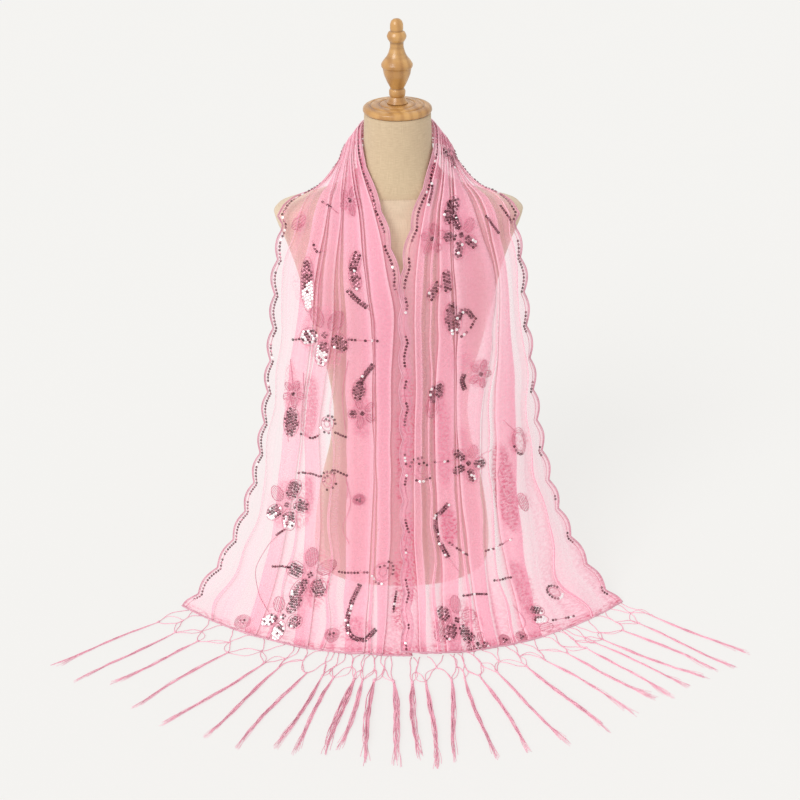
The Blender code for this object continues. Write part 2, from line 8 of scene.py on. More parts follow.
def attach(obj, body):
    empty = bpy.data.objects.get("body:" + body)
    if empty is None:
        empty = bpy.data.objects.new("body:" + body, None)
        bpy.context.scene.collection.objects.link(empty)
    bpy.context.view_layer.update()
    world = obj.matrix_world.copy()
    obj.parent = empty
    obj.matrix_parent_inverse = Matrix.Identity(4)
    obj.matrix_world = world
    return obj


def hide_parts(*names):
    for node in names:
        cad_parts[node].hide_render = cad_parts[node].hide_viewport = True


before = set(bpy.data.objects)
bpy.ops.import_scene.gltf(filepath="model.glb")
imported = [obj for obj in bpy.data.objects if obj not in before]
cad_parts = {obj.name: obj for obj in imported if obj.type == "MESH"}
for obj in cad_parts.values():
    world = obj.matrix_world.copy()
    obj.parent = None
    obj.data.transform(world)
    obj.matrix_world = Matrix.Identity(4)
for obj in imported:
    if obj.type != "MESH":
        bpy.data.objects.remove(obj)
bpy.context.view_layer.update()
print("frame loaded")

# The evening stole on its dress form.  Metres, +Z up, the front faces -Y.  A run is the distance
# from the middle of the nape along the stole, and a share goes from neck edge 0 to outer edge 1.


def tint(red, green, blue):
    # A display colour, 0 to 255, as linear RGBA.
    values = [v / 255.0 for v in (red, green, blue)]
    return (*[v / 12.92 if v <= 0.04045 else ((v + 0.055) / 1.055) ** 2.4 for v in values], 1.0)


class Graph:
    def __init__(self, tree):
        self.tree = tree

    def node(self, kind, settings=None, inputs=None, output=0):
        made = self.tree.nodes.new(kind)
        for key, value in (settings or {}).items():
            setattr(made, key, value)
        for key, value in (inputs or {}).items():
            if isinstance(value, Wire):
                self.tree.links.new(value.socket, made.inputs[key])
            else:
                made.inputs[key].default_value = value
        return Wire(self, made.outputs[output])


class Wire:
    # A socket: its operators add Math nodes.
    def __init__(self, graph, socket):
        self.graph, self.socket = graph, socket

    def math(self, operation, first, second=0.0):
        return self.graph.node("ShaderNodeMath", {"operation": operation}, {0: first, 1: second})

    def __add__(self, other):
        return self.math("ADD", self, other)

    def __radd__(self, other):
        return self.math("ADD", other, self)

    def __sub__(self, other):
        return self.math("SUBTRACT", self, other)

    def __rsub__(self, other):
        return self.math("SUBTRACT", other, self)

    def __mul__(self, other):
        return self.math("MULTIPLY", self, other)

    def __rmul__(self, other):
        return self.math("MULTIPLY", other, self)

    def __pow__(self, other):
        return self.math("POWER", self, other)

    def __rpow__(self, other):
        return self.math("POWER", other, self)

    def unsigned(self):
        return self.math("ABSOLUTE", self)

    def wave(self):
        return self.math("SINE", self)

    def between(self, low, high):
        return self.graph.node("ShaderNodeMapRange", {"interpolation_type": "SMOOTHSTEP"},
                               {"Value": self, "From Min": low, "From Max": high})

    def scaled(self, x, y, z=1.0):
        return self.graph.node("ShaderNodeMapping", {}, {"Vector": self, "Scale": (x, y, z)})

    def noise(self, scale, detail=2.0, roughness=0.5):
        return self.graph.node("ShaderNodeTexNoise", {}, {
            "Vector": self, "Scale": scale, "Detail": detail, "Roughness": roughness})

    def axis(self, which):
        return self.graph.node("ShaderNodeSeparateXYZ", {}, {0: self}, which)

    def blend(self, low, high):
        # Colour mix of two colours by this value.
        return self.graph.node("ShaderNodeMix", {"data_type": "RGBA"},
                               {0: self, 6: low, 7: high}, 2)


def finish(name, **steady):
    # A new Principled material: its graph and its shader, with the inputs that stay the same.
    made = bpy.data.materials.new(name)
    made.use_nodes = True
    shader = made.node_tree.nodes["Principled BSDF"]
    for key, value in steady.items():
        shader.inputs[key.replace("_", " ")].default_value = value
    return made, Graph(made.node_tree), shader


def feed(graph, shader, **wires):
    for key, wire in wires.items():
        graph.tree.links.new(wire.socket, shader.inputs[key.replace("_", " ")])


def bump(graph, height, strength, distance):
    return graph.node("ShaderNodeBump", {}, {"Height": height, "Strength": strength,
                                             "Distance": distance})


def objectCoords(graph):
    return graph.node("ShaderNodeTexCoord", {}, {}, "Object")


def uvCoords(graph):
    return graph.node("ShaderNodeUVMap", {"uv_map": "cloth"})


def stored(graph, name):
    # A value kept on the mesh's points.
    return graph.node("ShaderNodeAttribute", {"attribute_name": name}, {}, "Fac")


def threadFinish(name, pale, deep):
    made, graph, shader = finish(name, Roughness=0.6, Sheen_Weight=0.3)
    place = objectCoords(graph)
    twist = place.noise(900.0, 2.0)
    patchy = place.noise(45.0, 2.0)
    feed(graph, shader, Base_Color=(twist * 0.5 + patchy * 0.5).between(0.3, 0.7).blend(pale, deep),
         Normal=bump(graph, twist, 0.4, 0.0004))
    return made


def addPiece(name, points, faces, material):
    mesh = bpy.data.meshes.new(name)
    mesh.from_pydata([tuple(map(float, p)) for p in points], [], faces)
    mesh.materials.append(material)
    mesh.shade_smooth()
    return keepPiece(name, mesh)


def keepPiece(name, mesh):
    obj = bpy.data.objects.new(name, mesh)
    bpy.context.scene.collection.objects.link(obj)
    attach(obj, "root")
    return obj


def gridFaces(rows, columns, closed=False):
    faces = []
    for row in range(rows - 1):
        for column in range(columns if closed else columns - 1):
            after = (column + 1) % columns
            faces.append((row * columns + column, row * columns + after,
                          (row + 1) * columns + after, (row + 1) * columns + column))
    return faces


def closedFaces(rings, sides):
    # Faces of a row of rings, closed at both ends.
    return [*gridFaces(rings, sides, closed=True), tuple(reversed(range(sides))),
            tuple((rings - 1) * sides + i for i in range(sides))]


def tubes(name, paths, sides, material):
    # One mesh of tapering tubes: each path is its points and its radii.
    points, faces = [], []
    turns = np.arange(sides) * 2.0 * math.pi / sides
    for path, radii in paths:
        path = np.asarray(path, float)
        along = np.gradient(path, axis=0)
        along /= np.linalg.norm(along, axis=1, keepdims=True) + 1e-12
        side = np.cross(along[0], (0.0, 0.0, 1.0))
        if np.linalg.norm(side) < 0.2:
            side = np.cross(along[0], (0.0, 1.0, 0.0))
        start = len(points)
        for place, way, radius in zip(path, along, radii):
            side = side - way * np.dot(side, way)
            side /= np.linalg.norm(side) + 1e-12
            across = np.cross(way, side)
            points.extend(place + radius * (np.cos(t) * side + np.sin(t) * across) for t in turns)
        faces.extend(tuple(start + i for i in face) for face in closedFaces(len(path), sides))
    return addPiece(name, points, faces, material)


def setUv(mesh, coords):
    layer = mesh.uv_layers.new(name="cloth")
    corners = np.empty(len(mesh.loops), dtype=np.int32)
    mesh.loops.foreach_get("vertex_index", corners)
    layer.data.foreach_set("uv", np.asarray(coords, dtype=np.float32)[corners].ravel())


def setValue(mesh, name, values, kind="FLOAT"):
    layer = mesh.attributes.new(name, kind, "POINT")
    field = "vector" if kind == "FLOAT_VECTOR" else "value"
    layer.data.foreach_set(field, np.asarray(values, dtype=np.float32).ravel())


def walked(points, axis):
    # Distance gone along a grid of points from its first row or column.
    start = np.take(points, [0], axis=axis)
    return np.cumsum(np.linalg.norm(np.diff(points, axis=axis, prepend=start), axis=2), axis=axis)


def resample(points, pitch, *others):
    # The same line in even steps, with whatever else goes along it.
    points = np.asarray(points, float)
    gone = np.concatenate([[0.0], np.cumsum(np.linalg.norm(np.diff(points, axis=0), axis=1))])
    count = max(2, int(round(gone[-1] / pitch)) + 1)
    at = np.linspace(0.0, gone[-1], count)
    return [np.stack([np.interp(at, gone, values[:, i]) for i in range(values.shape[1])], axis=1)
            for values in (points, *map(np.asarray, others))]


def smoothTable(knots, values, at):
    # A curve through a table's rows that never overshoots them.
    knots = np.asarray(knots, float)
    values = np.asarray(values, float)
    steps = np.diff(knots)
    slopes = np.diff(values, axis=0) / steps.reshape(-1, *([1] * (values.ndim - 1)))
    before, after = slopes[:-1], slopes[1:]
    sameWay = before * after > 0.0
    bends = np.where(sameWay, 2.0 * before * after / np.where(sameWay, before + after, 1.0), 0.0)
    bends = np.concatenate([slopes[:1], bends, slopes[-1:]])
    at = np.clip(np.asarray(at, float), knots[0], knots[-1])
    index = np.clip(np.searchsorted(knots, at, side="right") - 1, 0, len(steps) - 1)
    width = steps[index]
    share = (at - knots[index]) / width
    shape = share.shape + (1,) * (values.ndim - 1)
    share, width = share.reshape(shape), width.reshape(shape)
    return (values[index] * (2 * share**3 - 3 * share**2 + 1)
            + values[index + 1] * (3 * share**2 - 2 * share**3)
            + bends[index] * width * (share**3 - 2 * share**2 + share)
            + bends[index + 1] * width * (share**3 - share**2))


def softStep(share):
    share = np.clip(share, 0.0, 1.0)
    return share * share * (3.0 - 2.0 * share)


def past(far, start, reach):
    # 0 up to a start and 1 from its reach onwards.
    return softStep((far - start) / reach)


def ripple(at, seed, lowest, count):
    # Smooth unevenness from a few waves, about -1 to 1.
    dice = np.random.default_rng(seed)
    total = np.zeros_like(np.asarray(at, float))
    for step in range(count):
        total += np.sin(at * lowest * (1.0 + 0.73 * step) * 2.0 * math.pi
                        + dice.uniform(0.0, 2.0 * math.pi)) / (1.0 + 0.5 * step)
    return total / sum(1.0 / (1.0 + 0.5 * step) for step in range(count))


form = {"height": 0.850, "ringPoints": 120, "ringStep": 0.006, "edgeRound": 0.004,
        "footRing": (0.0012, 0.0016), "seamHeight": 0.731, "seamDepth": 0.0007,
        "seamHalf": 0.0022, "weavePitch": 0.0016}
# Horizontal sections of the form: height, half width, front depth, back depth, squareness.
formSections = (
    (0.000, 0.1620, 0.108, 0.112, 2.30),
    (0.030, 0.1645, 0.111, 0.116, 2.30),
    (0.085, 0.1605, 0.110, 0.117, 2.25),
    (0.165, 0.1475, 0.103, 0.108, 2.20),
    (0.250, 0.1275, 0.092, 0.091, 2.15),
    (0.320, 0.1185, 0.087, 0.079, 2.10),
    (0.390, 0.1245, 0.093, 0.083, 2.10),
    (0.450, 0.1380, 0.106, 0.092, 2.15),
    (0.530, 0.1550, 0.120, 0.101, 2.25),
    (0.600, 0.1690, 0.113, 0.103, 2.35),
    (0.650, 0.1845, 0.095, 0.099, 2.40),
    (0.682, 0.1970, 0.080, 0.091, 2.40),
    (0.696, 0.2000, 0.073, 0.085, 2.35),
    (0.703, 0.1870, 0.070, 0.081, 2.25),
    (0.709, 0.1640, 0.068, 0.077, 2.20),
    (0.716, 0.1400, 0.066, 0.073, 2.15),
    (0.726, 0.1120, 0.064, 0.068, 2.10),
    (0.738, 0.0880, 0.062, 0.064, 2.05),
    (0.752, 0.0710, 0.059, 0.060, 2.00),
    (0.775, 0.0585, 0.0555, 0.0565, 2.00),
    (0.805, 0.0535, 0.0530, 0.0535, 2.00),
    (0.850, 0.0515, 0.0515, 0.0515, 2.00),
)
formTable = np.array(formSections)
# The pink light that the net throws on the linen.  It leaves out the open V of the neckline, which
# has its foot and widens by its slope, and it fades between two places on each axis.
paintedNetLight = {"strength": 0.52, "vFoot": 0.625, "vSlope": 0.27, "vFade": 0.012,
         "front": (-0.010, 0.085), "side": (0.176, 0.190), "top": (0.715, 0.745)}


def linenFinish():
    made, graph, shader = finish("linen", Roughness=0.85, Sheen_Weight=0.15)
    uv = uvCoords(graph)
    wavesPerMetre = 2.0 * math.pi / form["weavePitch"]
    warp = (uv.axis(0) * wavesPerMetre + uv.noise(60.0) * 2.0).wave()
    weft = (uv.axis(1) * wavesPerMetre + uv.noise(70.0) * 2.0).wave()
    slub = uv.scaled(40.0, 900.0).noise(1.0, 3.0) * 0.5 + uv.scaled(900.0, 40.0).noise(1.0, 3.0) * 0.5
    place = objectCoords(graph)
    height = place.axis(2)
    aside = place.axis(0).unsigned()
    opening = (aside - (height - paintedNetLight["vFoot"]) * paintedNetLight["vSlope"]).between(0.0, paintedNetLight["vFade"])
    cast = (opening * (0.0 - place.axis(1)).between(*paintedNetLight["front"])
            * (1.0 - aside.between(*paintedNetLight["side"])) * (1.0 - height.between(*paintedNetLight["top"])))
    neck = height.between(form["seamHeight"] - 0.0015, form["seamHeight"] + 0.0015)
    body = slub.between(0.35, 0.65).blend(tint(206, 183, 156), tint(222, 199, 173))
    upper = slub.between(0.35, 0.65).blend(tint(192, 168, 137), tint(208, 185, 152))
    # The net's pink light on the linen is painted into its colour as painted light, except in the
    # neckline's V.
    lit = (cast * paintedNetLight["strength"]).blend(neck.blend(body, upper), tint(212, 146, 146))
    feed(graph, shader, Base_Color=lit,
         Normal=bump(graph, warp * 0.25 + weft * 0.25 + slub, 0.35, 0.0006))
    return made


def formSection(height):
    section = smoothTable(formTable[:, 0], formTable[:, 1:], height)
    return section[..., 0], section[..., 1], section[..., 2], section[..., 3]


def formReach(points):
    # 1 on the form's surface, less inside it, more outside it.
    halfWidth, front, back, squareness = formSection(points[..., 2])
    depth = np.where(points[..., 1] < 0.0, front, back)
    across = np.abs(points[..., 0] / halfWidth) ** squareness
    through = np.abs(points[..., 1] / depth) ** squareness
    return (across + through) ** (1.0 / squareness)


def restOnForm(points, clearance):
    # Moves points that are too near the form, or in it, straight out from it.
    step, passes, furthest = 0.0004, 4, 0.02
    for _ in range(passes):
        slope = np.stack([(formReach(points + np.eye(3)[axis] * step)
                           - formReach(points - np.eye(3)[axis] * step)) / (2.0 * step)
                          for axis in range(3)], axis=-1)
        steepness = np.linalg.norm(slope, axis=-1) + 1e-9
        distance = (formReach(points) - 1.0) / steepness
        short = np.clip(clearance - distance, 0.0, furthest)
        points = points + slope / steepness[..., None] * short[..., None]
    return points


def formRing(height, inset, turns):
    halfWidth, front, back, squareness = (float(v) for v in formSection(height))
    side, fore = np.cos(turns), np.sin(turns)
    depth = np.where(fore < 0.0, front, back) - inset
    x = (halfWidth - inset) * np.sign(side) * np.abs(side) ** (2.0 / squareness)
    y = depth * np.sign(fore) * np.abs(fore) ** (2.0 / squareness)
    return np.stack([x, y, np.full_like(x, height)], axis=-1)


def buildForm():
    turns = np.arange(form["ringPoints"] + 1) * 2.0 * math.pi / form["ringPoints"] + math.pi / 2.0
    rings = [formRing(0.0, form["edgeRound"], turns), formRing(*form["footRing"], turns)]
    heights = np.arange(form["edgeRound"], form["height"], form["ringStep"])
    for height in (*heights, form["height"]):
        # The neck's cover is sewn on over the body's and turns in at the seam.
        groove = form["seamDepth"] * math.exp(-((height - form["seamHeight"]) / form["seamHalf"]) ** 2)
        rings.append(formRing(height, groove, turns))
    rings = np.array(rings)
    count = form["ringPoints"] + 1                       # the last point lies on the first
    faces = gridFaces(len(rings), count)
    faces.append(tuple(reversed(range(count - 1))))
    faces.append(tuple((len(rings) - 1) * count + i for i in range(count - 1)))
    obj = addPiece("dressForm", rings.reshape(-1, 3), faces, linenFinish())
    around, tall = walked(rings, 1), walked(rings, 0)
    around = np.broadcast_to(around.mean(axis=0), around.shape)
    tall = np.broadcast_to(tall.mean(axis=1)[:, None], tall.shape)
    setUv(obj.data, np.stack([around, tall], axis=-1).reshape(-1, 2))
    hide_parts("form_body")


turning = {"sides": 96, "steps": 6, "rounding": 2, "hollowReach": 12, "hollowDepth": 0.0007,
           "capRadius": 0.0535, "capThickness": 0.0135, "capRim": 0.0440,
           "capGrooves": (0.0275, 0.0415), "grooveHalf": 0.0022, "finialHeight": 0.1255,
           "gap": 0.0003}


def woodFinish():
    made, graph, shader = finish("turnedWood", Coat_Weight=0.35, Coat_Roughness=0.16)
    place = objectCoords(graph)
    wander = place.noise(9.0, 2.0)
    rings = (place.axis(0) * 420.0 + place.axis(1) * 150.0 + wander * 14.0).wave() * 0.5 + 0.5
    fibre = place.scaled(700.0, 700.0, 45.0).noise(1.0, 3.0)
    grain = rings * 0.55 + fibre * 0.45
    broad = place.scaled(26.0, 26.0, 7.0).noise(1.0, 2.0).between(0.35, 0.65)
    pale = broad.blend(tint(206, 158, 95), tint(178, 128, 68))
    deep = broad.blend(tint(160, 108, 54), tint(134, 84, 40))
    plain = (grain.between(0.30, 0.95) * 0.55).blend(pale, deep)
    # The hollows of the turning are painted dark as painted shade.
    feed(graph, shader, Base_Color=(stored(graph, "hollowShade") * 0.85).blend(plain, tint(100, 60, 26)),
         Roughness=0.28 + grain * 0.16, Normal=bump(graph, fibre, 0.12, 0.0004))
    return made


def softened(profile, times):
    profile = profile.copy()
    for _ in range(times):
        profile[1:-1] = profile[1:-1] * 0.5 + (profile[:-2] + profile[2:]) * 0.25
    return profile


def turned(name, node, profile, base, material):
    # The profile is radius and height pairs with rounded corners between them.
    corners = np.array(profile)
    at = np.linspace(0.0, len(corners) - 1.0, (len(corners) - 1) * turning["steps"] + 1)
    dense = np.stack([np.interp(at, np.arange(len(corners)), corners[:, i]) for i in (0, 1)], axis=1)
    dense = softened(dense, turning["rounding"])
    # Hollows of the profile hold a little painted shade.
    out = np.gradient(dense, axis=0) @ np.array(((0.0, -1.0), (1.0, 0.0)))
    out /= np.linalg.norm(out, axis=1, keepdims=True) + 1e-9
    inwards = ((softened(dense, turning["hollowReach"]) - dense) * out).sum(axis=1)
    hollowShade = np.clip(inwards / turning["hollowDepth"], 0.0, 1.0)
    sides = turning["sides"]
    turns = np.arange(sides) * 2.0 * math.pi / sides
    points = [(r * math.cos(t), r * math.sin(t), base + h) for r, h in dense[1:-1] for t in turns]
    obj = addPiece(name, points, closedFaces(len(dense) - 2, sides), material)
    setValue(obj.data, "hollowShade", np.repeat(hollowShade[1:-1], sides))
    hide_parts(node)


def buildWood():
    wood = woodFinish()
    top, edge, half = turning["capThickness"], turning["capRadius"], turning["grooveHalf"]
    inner, outer = turning["capGrooves"]
    cap = [(0.0, 0.0), (edge - 0.0040, 0.0), (edge - 0.0010, 0.0012), (edge, top - 0.0095),
           (edge - 0.0007, top - 0.0060), (edge - 0.0035, top - 0.0035),
           (turning["capRim"], top - 0.0019), (outer, top - 0.0035),
           (outer - half, top - 0.0010), (inner + half, top - 0.0004), (inner, top - 0.0022),
           (inner - half, top), (0.0, top)]
    base = form["height"] + turning["gap"]
    turned("neckCap", "neck_cap", cap, base, wood)
    tip = turning["finialHeight"]
    finial = [(0.0, 0.0), (0.0160, 0.0), (0.0160, 0.0015), (0.0135, 0.0050), (0.0118, 0.0085),
              (0.0108, 0.0102), (0.0122, 0.0118), (0.0127, 0.0160), (0.0124, 0.0200),
              (0.0103, 0.0224), (0.0120, 0.0260), (0.0155, 0.0325), (0.0200, 0.0432),
              (0.0216, 0.0514), (0.0222, 0.0535), (0.0236, 0.0548), (0.0242, 0.0590),
              (0.0205, 0.0646), (0.0158, 0.0699), (0.0129, 0.0752), (0.0103, 0.0838),
              (0.0102, tip - 0.0345), (0.0135, tip - 0.0300), (0.0150, tip - 0.0252),
              (0.0124, tip - 0.0195), (0.0094, tip - 0.0180), (0.0100, tip - 0.0145),
              (0.0098, tip - 0.0080), (0.0080, tip - 0.0033), (0.0045, tip - 0.0007), (0.0, tip)]
    turned("turnedFinial", "finial", finial, base + turning["capThickness"] + turning["gap"], wood)


buildForm()
buildWood()
print("dress form built")


stole = {"clearance": 0.0045, "rowStep": 0.0058, "cutWidth": 0.56, "cutLength": 1.95,
         "scallopPitch": 0.058, "scallopDepth": 0.0088, "scallopFullWidth": 0.190,
         "neckScallop": 0.6, "shoulderRow": 6, "shoulderSpare": 0.005, "shoulderReach": 0.070,
         "outOfStep": (0.03, 0.06), "overlapLift": 0.011, "overlapFirstRow": 8,
         "overlapShare": 0.30, "overlapRise": 0.12, "foldRound": 0.0016, "lastFold": 0.97,
         "drop": 0.8, "steepDrop": 0.5, "underShare": 0.60, "shadeReach": 0.0045,
         "shadeMost": 0.35, "shade": 0.8, "shadeStart": 0.10, "lowest": 0.0006,
         # heights of the gathers and waves, and start and reach of the runs where each comes in
         "fine": 0.0008, "fineLoss": 0.55, "fineFade": (0.12, 0.30), "drift": 0.10,
         "soft": 0.0011, "softStart": (0.45, 0.30), "hemWave": 0.0055, "hemStart": (0.84, 0.12),
         "hemMiddle": 0.35, "hemHighest": 1.3, "troughSlant": (0.20, 0.76), "troughWander": 0.012,
         # how far places and widths of the pleats wander
         "pleatWander": 0.006, "pleatUneven": 0.08, "finePlace": 0.58, "fineWander": 0.16,
         "fineUneven": 0.35, "fineWidest": 0.16}
# Rows of the worn cloth, nape to hem: neck edge (lateral, y, z), outer edge (lateral, y, z), bow
# of the middle, spacing of two folds, how far the left and the right half pass the middle.
stoleRows = (
    ((0.000, 0.0590, 0.8360), (0.000, 0.0720, 0.7760), 0.004, 0.0028, 0.000, 0.000),
    ((0.036, 0.0470, 0.8340), (0.050, 0.0620, 0.7790), 0.004, 0.0028, 0.000, 0.000),
    ((0.056, 0.0100, 0.8240), (0.080, 0.0400, 0.7840), 0.004, 0.0028, 0.000, 0.000),
    ((0.0545, -0.018, 0.8020), (0.096, 0.0270, 0.7600), 0.004, 0.0028, 0.000, 0.000),
    ((0.047, -0.0390, 0.7760), (0.117, 0.0140, 0.7370), 0.004, 0.0040, 0.000, 0.000),
    ((0.036, -0.0590, 0.7500), (0.143, 0.0020, 0.7210), 0.005, 0.0036, 0.000, 0.000),
    ((0.023, -0.0790, 0.7200), (0.167, -0.0150, 0.7060), 0.007, 0.0036, 0.000, 0.000),
    ((0.013, -0.0980, 0.6890), (0.187, -0.0420, 0.6790), 0.009, 0.0036, 0.000, 0.000),
    ((0.006, -0.1160, 0.6510), (0.199, -0.0560, 0.6410), 0.012, 0.0036, 0.003, 0.002),
    ((0.003, -0.1290, 0.6080), (0.206, -0.0640, 0.5980), 0.015, 0.0036, 0.010, 0.005),
    ((0.000, -0.1360, 0.5500), (0.211, -0.0700, 0.5420), 0.018, 0.0038, 0.016, 0.005),
    ((0.000, -0.1410, 0.4700), (0.222, -0.0770, 0.4620), 0.022, 0.0040, 0.018, 0.005),
    ((0.000, -0.1470, 0.3700), (0.236, -0.0850, 0.3640), 0.025, 0.0040, 0.018, 0.005),
    ((0.000, -0.1560, 0.2700), (0.256, -0.0950, 0.2640), 0.028, 0.0040, 0.018, 0.005),
    ((0.000, -0.1700, 0.1800), (0.284, -0.1060, 0.1760), 0.031, 0.0038, 0.018, 0.005),
    ((0.000, -0.1880, 0.1080), (0.316, -0.1180, 0.1060), 0.034, 0.0036, 0.018, 0.005),
    ((0.000, -0.2140, 0.0500), (0.352, -0.1320, 0.0500), 0.036, 0.0032, 0.018, 0.005),
    ((0.000, -0.2500, 0.0150), (0.378, -0.1440, 0.0160), 0.037, 0.0028, 0.018, 0.005),
    ((0.000, -0.2900, 0.0000), (0.396, -0.1560, 0.0000), 0.038, 0.0026, 0.018, 0.005),
)
stationRows = (0, 3, 6, 9, 12, 14, 18)       # nape, collar, shoulder, chest, waist, thigh, hem
# Main pleats: places (share of the width) and widths in millimetres at the seven stations, and
# the share of the space past a pleat over which its top layer comes down again.
leftPleats = (
    ((0.15, 0.15, 0.145, 0.16, 0.17, 0.15, 0.13), (5, 6, 18, 30, 22, 22, 12), 0.8),
    ((0.35, 0.35, 0.32, 0.335, 0.315, 0.285, 0.23), (5, 6, 22, 38, 44, 43, 34), 0.8),
    ((0.55, 0.55, 0.475, 0.53, 0.62, 0.545, 0.44), (5, 6, 16, 20, 27, 28, 26), 0.8),
    ((0.75, 0.75, 0.62, 0.69, 0.762, 0.735, 0.66), (5, 6, 20, 26, 33, 27, 24), 0.8),
)
rightPleats = (
    ((0.15, 0.15, 0.14, 0.14, 0.12, 0.10, 0.09), (5, 6, 12, 12, 12, 14, 12), 0.8),
    ((0.35, 0.35, 0.31, 0.335, 0.295, 0.27, 0.21), (5, 6, 14, 20, 32, 30, 26), 0.8),
    ((0.55, 0.55, 0.50, 0.565, 0.46, 0.42, 0.36), (5, 6, 30, 68, 40, 30, 22), 0.18),
    ((0.75, 0.75, 0.74, 0.79, 0.72, 0.64, 0.55), (5, 6, 14, 16, 38, 38, 28), 0.8),
)
finePleat = (2, 2, 3, 3.5, 3.5, 4.5, 7)      # width of the small threefold pleat after each of them
# How closely the net is crushed together, at each station and share of the width: 1 is one flat
# layer.  Cloth folded under an outer layer counts for less.
densityShares = (0.0, 0.1, 0.2, 0.35, 0.5, 0.6, 0.75, 0.9, 1.0)
leftDensity = (
    (3.0, 3.0, 2.8, 2.6, 2.6, 2.6, 2.6, 2.6, 2.6),
    (5.0, 5.0, 4.8, 4.6, 4.4, 4.4, 4.6, 4.4, 4.0),
    (2.8, 3.6, 3.8, 3.6, 3.0, 2.6, 2.4, 1.4, 1.1),
    (2.0, 3.0, 3.4, 2.0, 1.3, 2.4, 2.4, 1.2, 1.1),
    (2.8, 2.8, 3.4, 2.2, 1.0, 1.9, 1.9, 0.9, 0.9),
    (2.6, 2.6, 2.8, 1.9, 1.6, 2.0, 1.7, 1.1, 1.0),
    (4.6, 4.4, 4.2, 3.8, 3.2, 3.0, 2.8, 2.2, 2.0),
)
# The right half is set denser in places, partly as painted shade for the side away from the light.
rightDensity = (
    (3.0, 3.0, 2.8, 2.6, 2.6, 2.6, 2.6, 2.6, 2.6),
    (5.0, 5.0, 4.8, 4.6, 4.6, 4.8, 5.0, 4.8, 4.4),
    (2.6, 3.2, 3.4, 3.4, 3.0, 2.6, 2.6, 2.4, 2.2),
    (1.8, 2.4, 2.4, 2.2, 1.9, 1.8, 2.3, 2.4, 2.3),
    (2.6, 2.0, 3.0, 3.2, 2.2, 2.5, 3.8, 2.6, 2.4),
    (2.6, 1.6, 2.0, 2.8, 2.0, 3.4, 3.6, 3.3, 3.1),
    (4.8, 4.6, 4.4, 4.6, 4.6, 5.0, 5.2, 5.0, 4.8),
)
# Soft troughs pressed into the falls: side, place at the shoulder and at the hem, where it is
# deepest (run), how far it reaches, depth and width in millimetres.
troughs = (
    (-1, 0.07, 0.08, 0.80, 0.30, 2.2, 12), (-1, 0.45, 0.47, 0.55, 0.35, 2.0, 14),
    (-1, 0.64, 0.66, 0.86, 0.28, 3.0, 20), (-1, 0.90, 0.88, 0.88, 0.22, 3.5, 26),
    (-1, 0.24, 0.24, 0.92, 0.16, 2.6, 16), (1, 0.24, 0.22, 0.62, 0.35, 2.0, 12),
    (1, 0.42, 0.43, 0.84, 0.24, 2.6, 16), (1, 0.64, 0.58, 0.70, 0.30, 2.4, 16),
    (1, 0.88, 0.80, 0.86, 0.26, 3.6, 26), (1, 0.10, 0.09, 0.90, 0.18, 2.4, 14),
)


def wholeRun():
    edges, extras = [], []
    for side, rows in ((-1.0, stoleRows[:0:-1]), (1.0, stoleRows)):
        for neckEdge, outerEdge, bow, layerGap, leftPast, rightPast in rows:
            past = leftPast if side < 0.0 else rightPast
            edges.append((side * (neckEdge[0] - past), neckEdge[1], neckEdge[2],
                          side * outerEdge[0], outerEdge[1], outerEdge[2]))
            extras.append((bow, layerGap))
    edges, extras = np.array(edges), np.array(extras)
    middles = (edges[:, :3] + edges[:, 3:]) / 2.0
    runs = np.concatenate([[0.0], np.cumsum(np.linalg.norm(np.diff(middles, axis=0), axis=1))])
    return runs - runs[len(stoleRows) - 1], edges, extras


runs, edges, extras = wholeRun()
nape = len(stoleRows) - 1
stations = [runs[nape + row] for row in stationRows]


def unbowed(run, share):
    ends = smoothTable(runs, edges, run)
    return ends[..., :3] * (1.0 - share[..., None]) + ends[..., 3:] * share[..., None]


def outward(surface, run, share):
    runStep, shareStep = 0.008, 0.05
    along = surface(run + runStep, share) - surface(run - runStep, share)
    across = surface(run, share + shareStep) - surface(run, share - shareStep)
    normal = np.cross(along, across)
    return normal / (np.linalg.norm(normal, axis=-1, keepdims=True) + 1e-12)


def bareCloth(run, share):
    run = np.clip(run, runs[0], runs[-1])
    more = smoothTable(runs, extras, run)
    normal = outward(unbowed, run, share)
    level = normal * (1.0, 1.0, 0.0)
    level = level / np.linalg.norm(level, axis=-1, keepdims=True)
    bow = more[..., 0] * 4.0 * share * (1.0 - share)
    start = runs[nape + stole["overlapFirstRow"]]
    over = (past(run, start, stole["overlapRise"])
            * softStep((stole["overlapShare"] - share) / stole["overlapShare"]))
    points = (unbowed(run, share) + level * bow[..., None]
              + normal * stole["overlapLift"] * over[..., None])
    pastShoulder = (np.abs(run) - runs[nape + stole["shoulderRow"]]) / stole["shoulderReach"]
    spare = stole["shoulderSpare"] * share * np.exp(-pastShoulder**2)
    return restOnForm(points, stole["clearance"] + spare)


def rowWidth(run):
    ends = smoothTable(runs, edges, run)
    return np.linalg.norm(ends[..., 3:] - ends[..., :3], axis=-1)


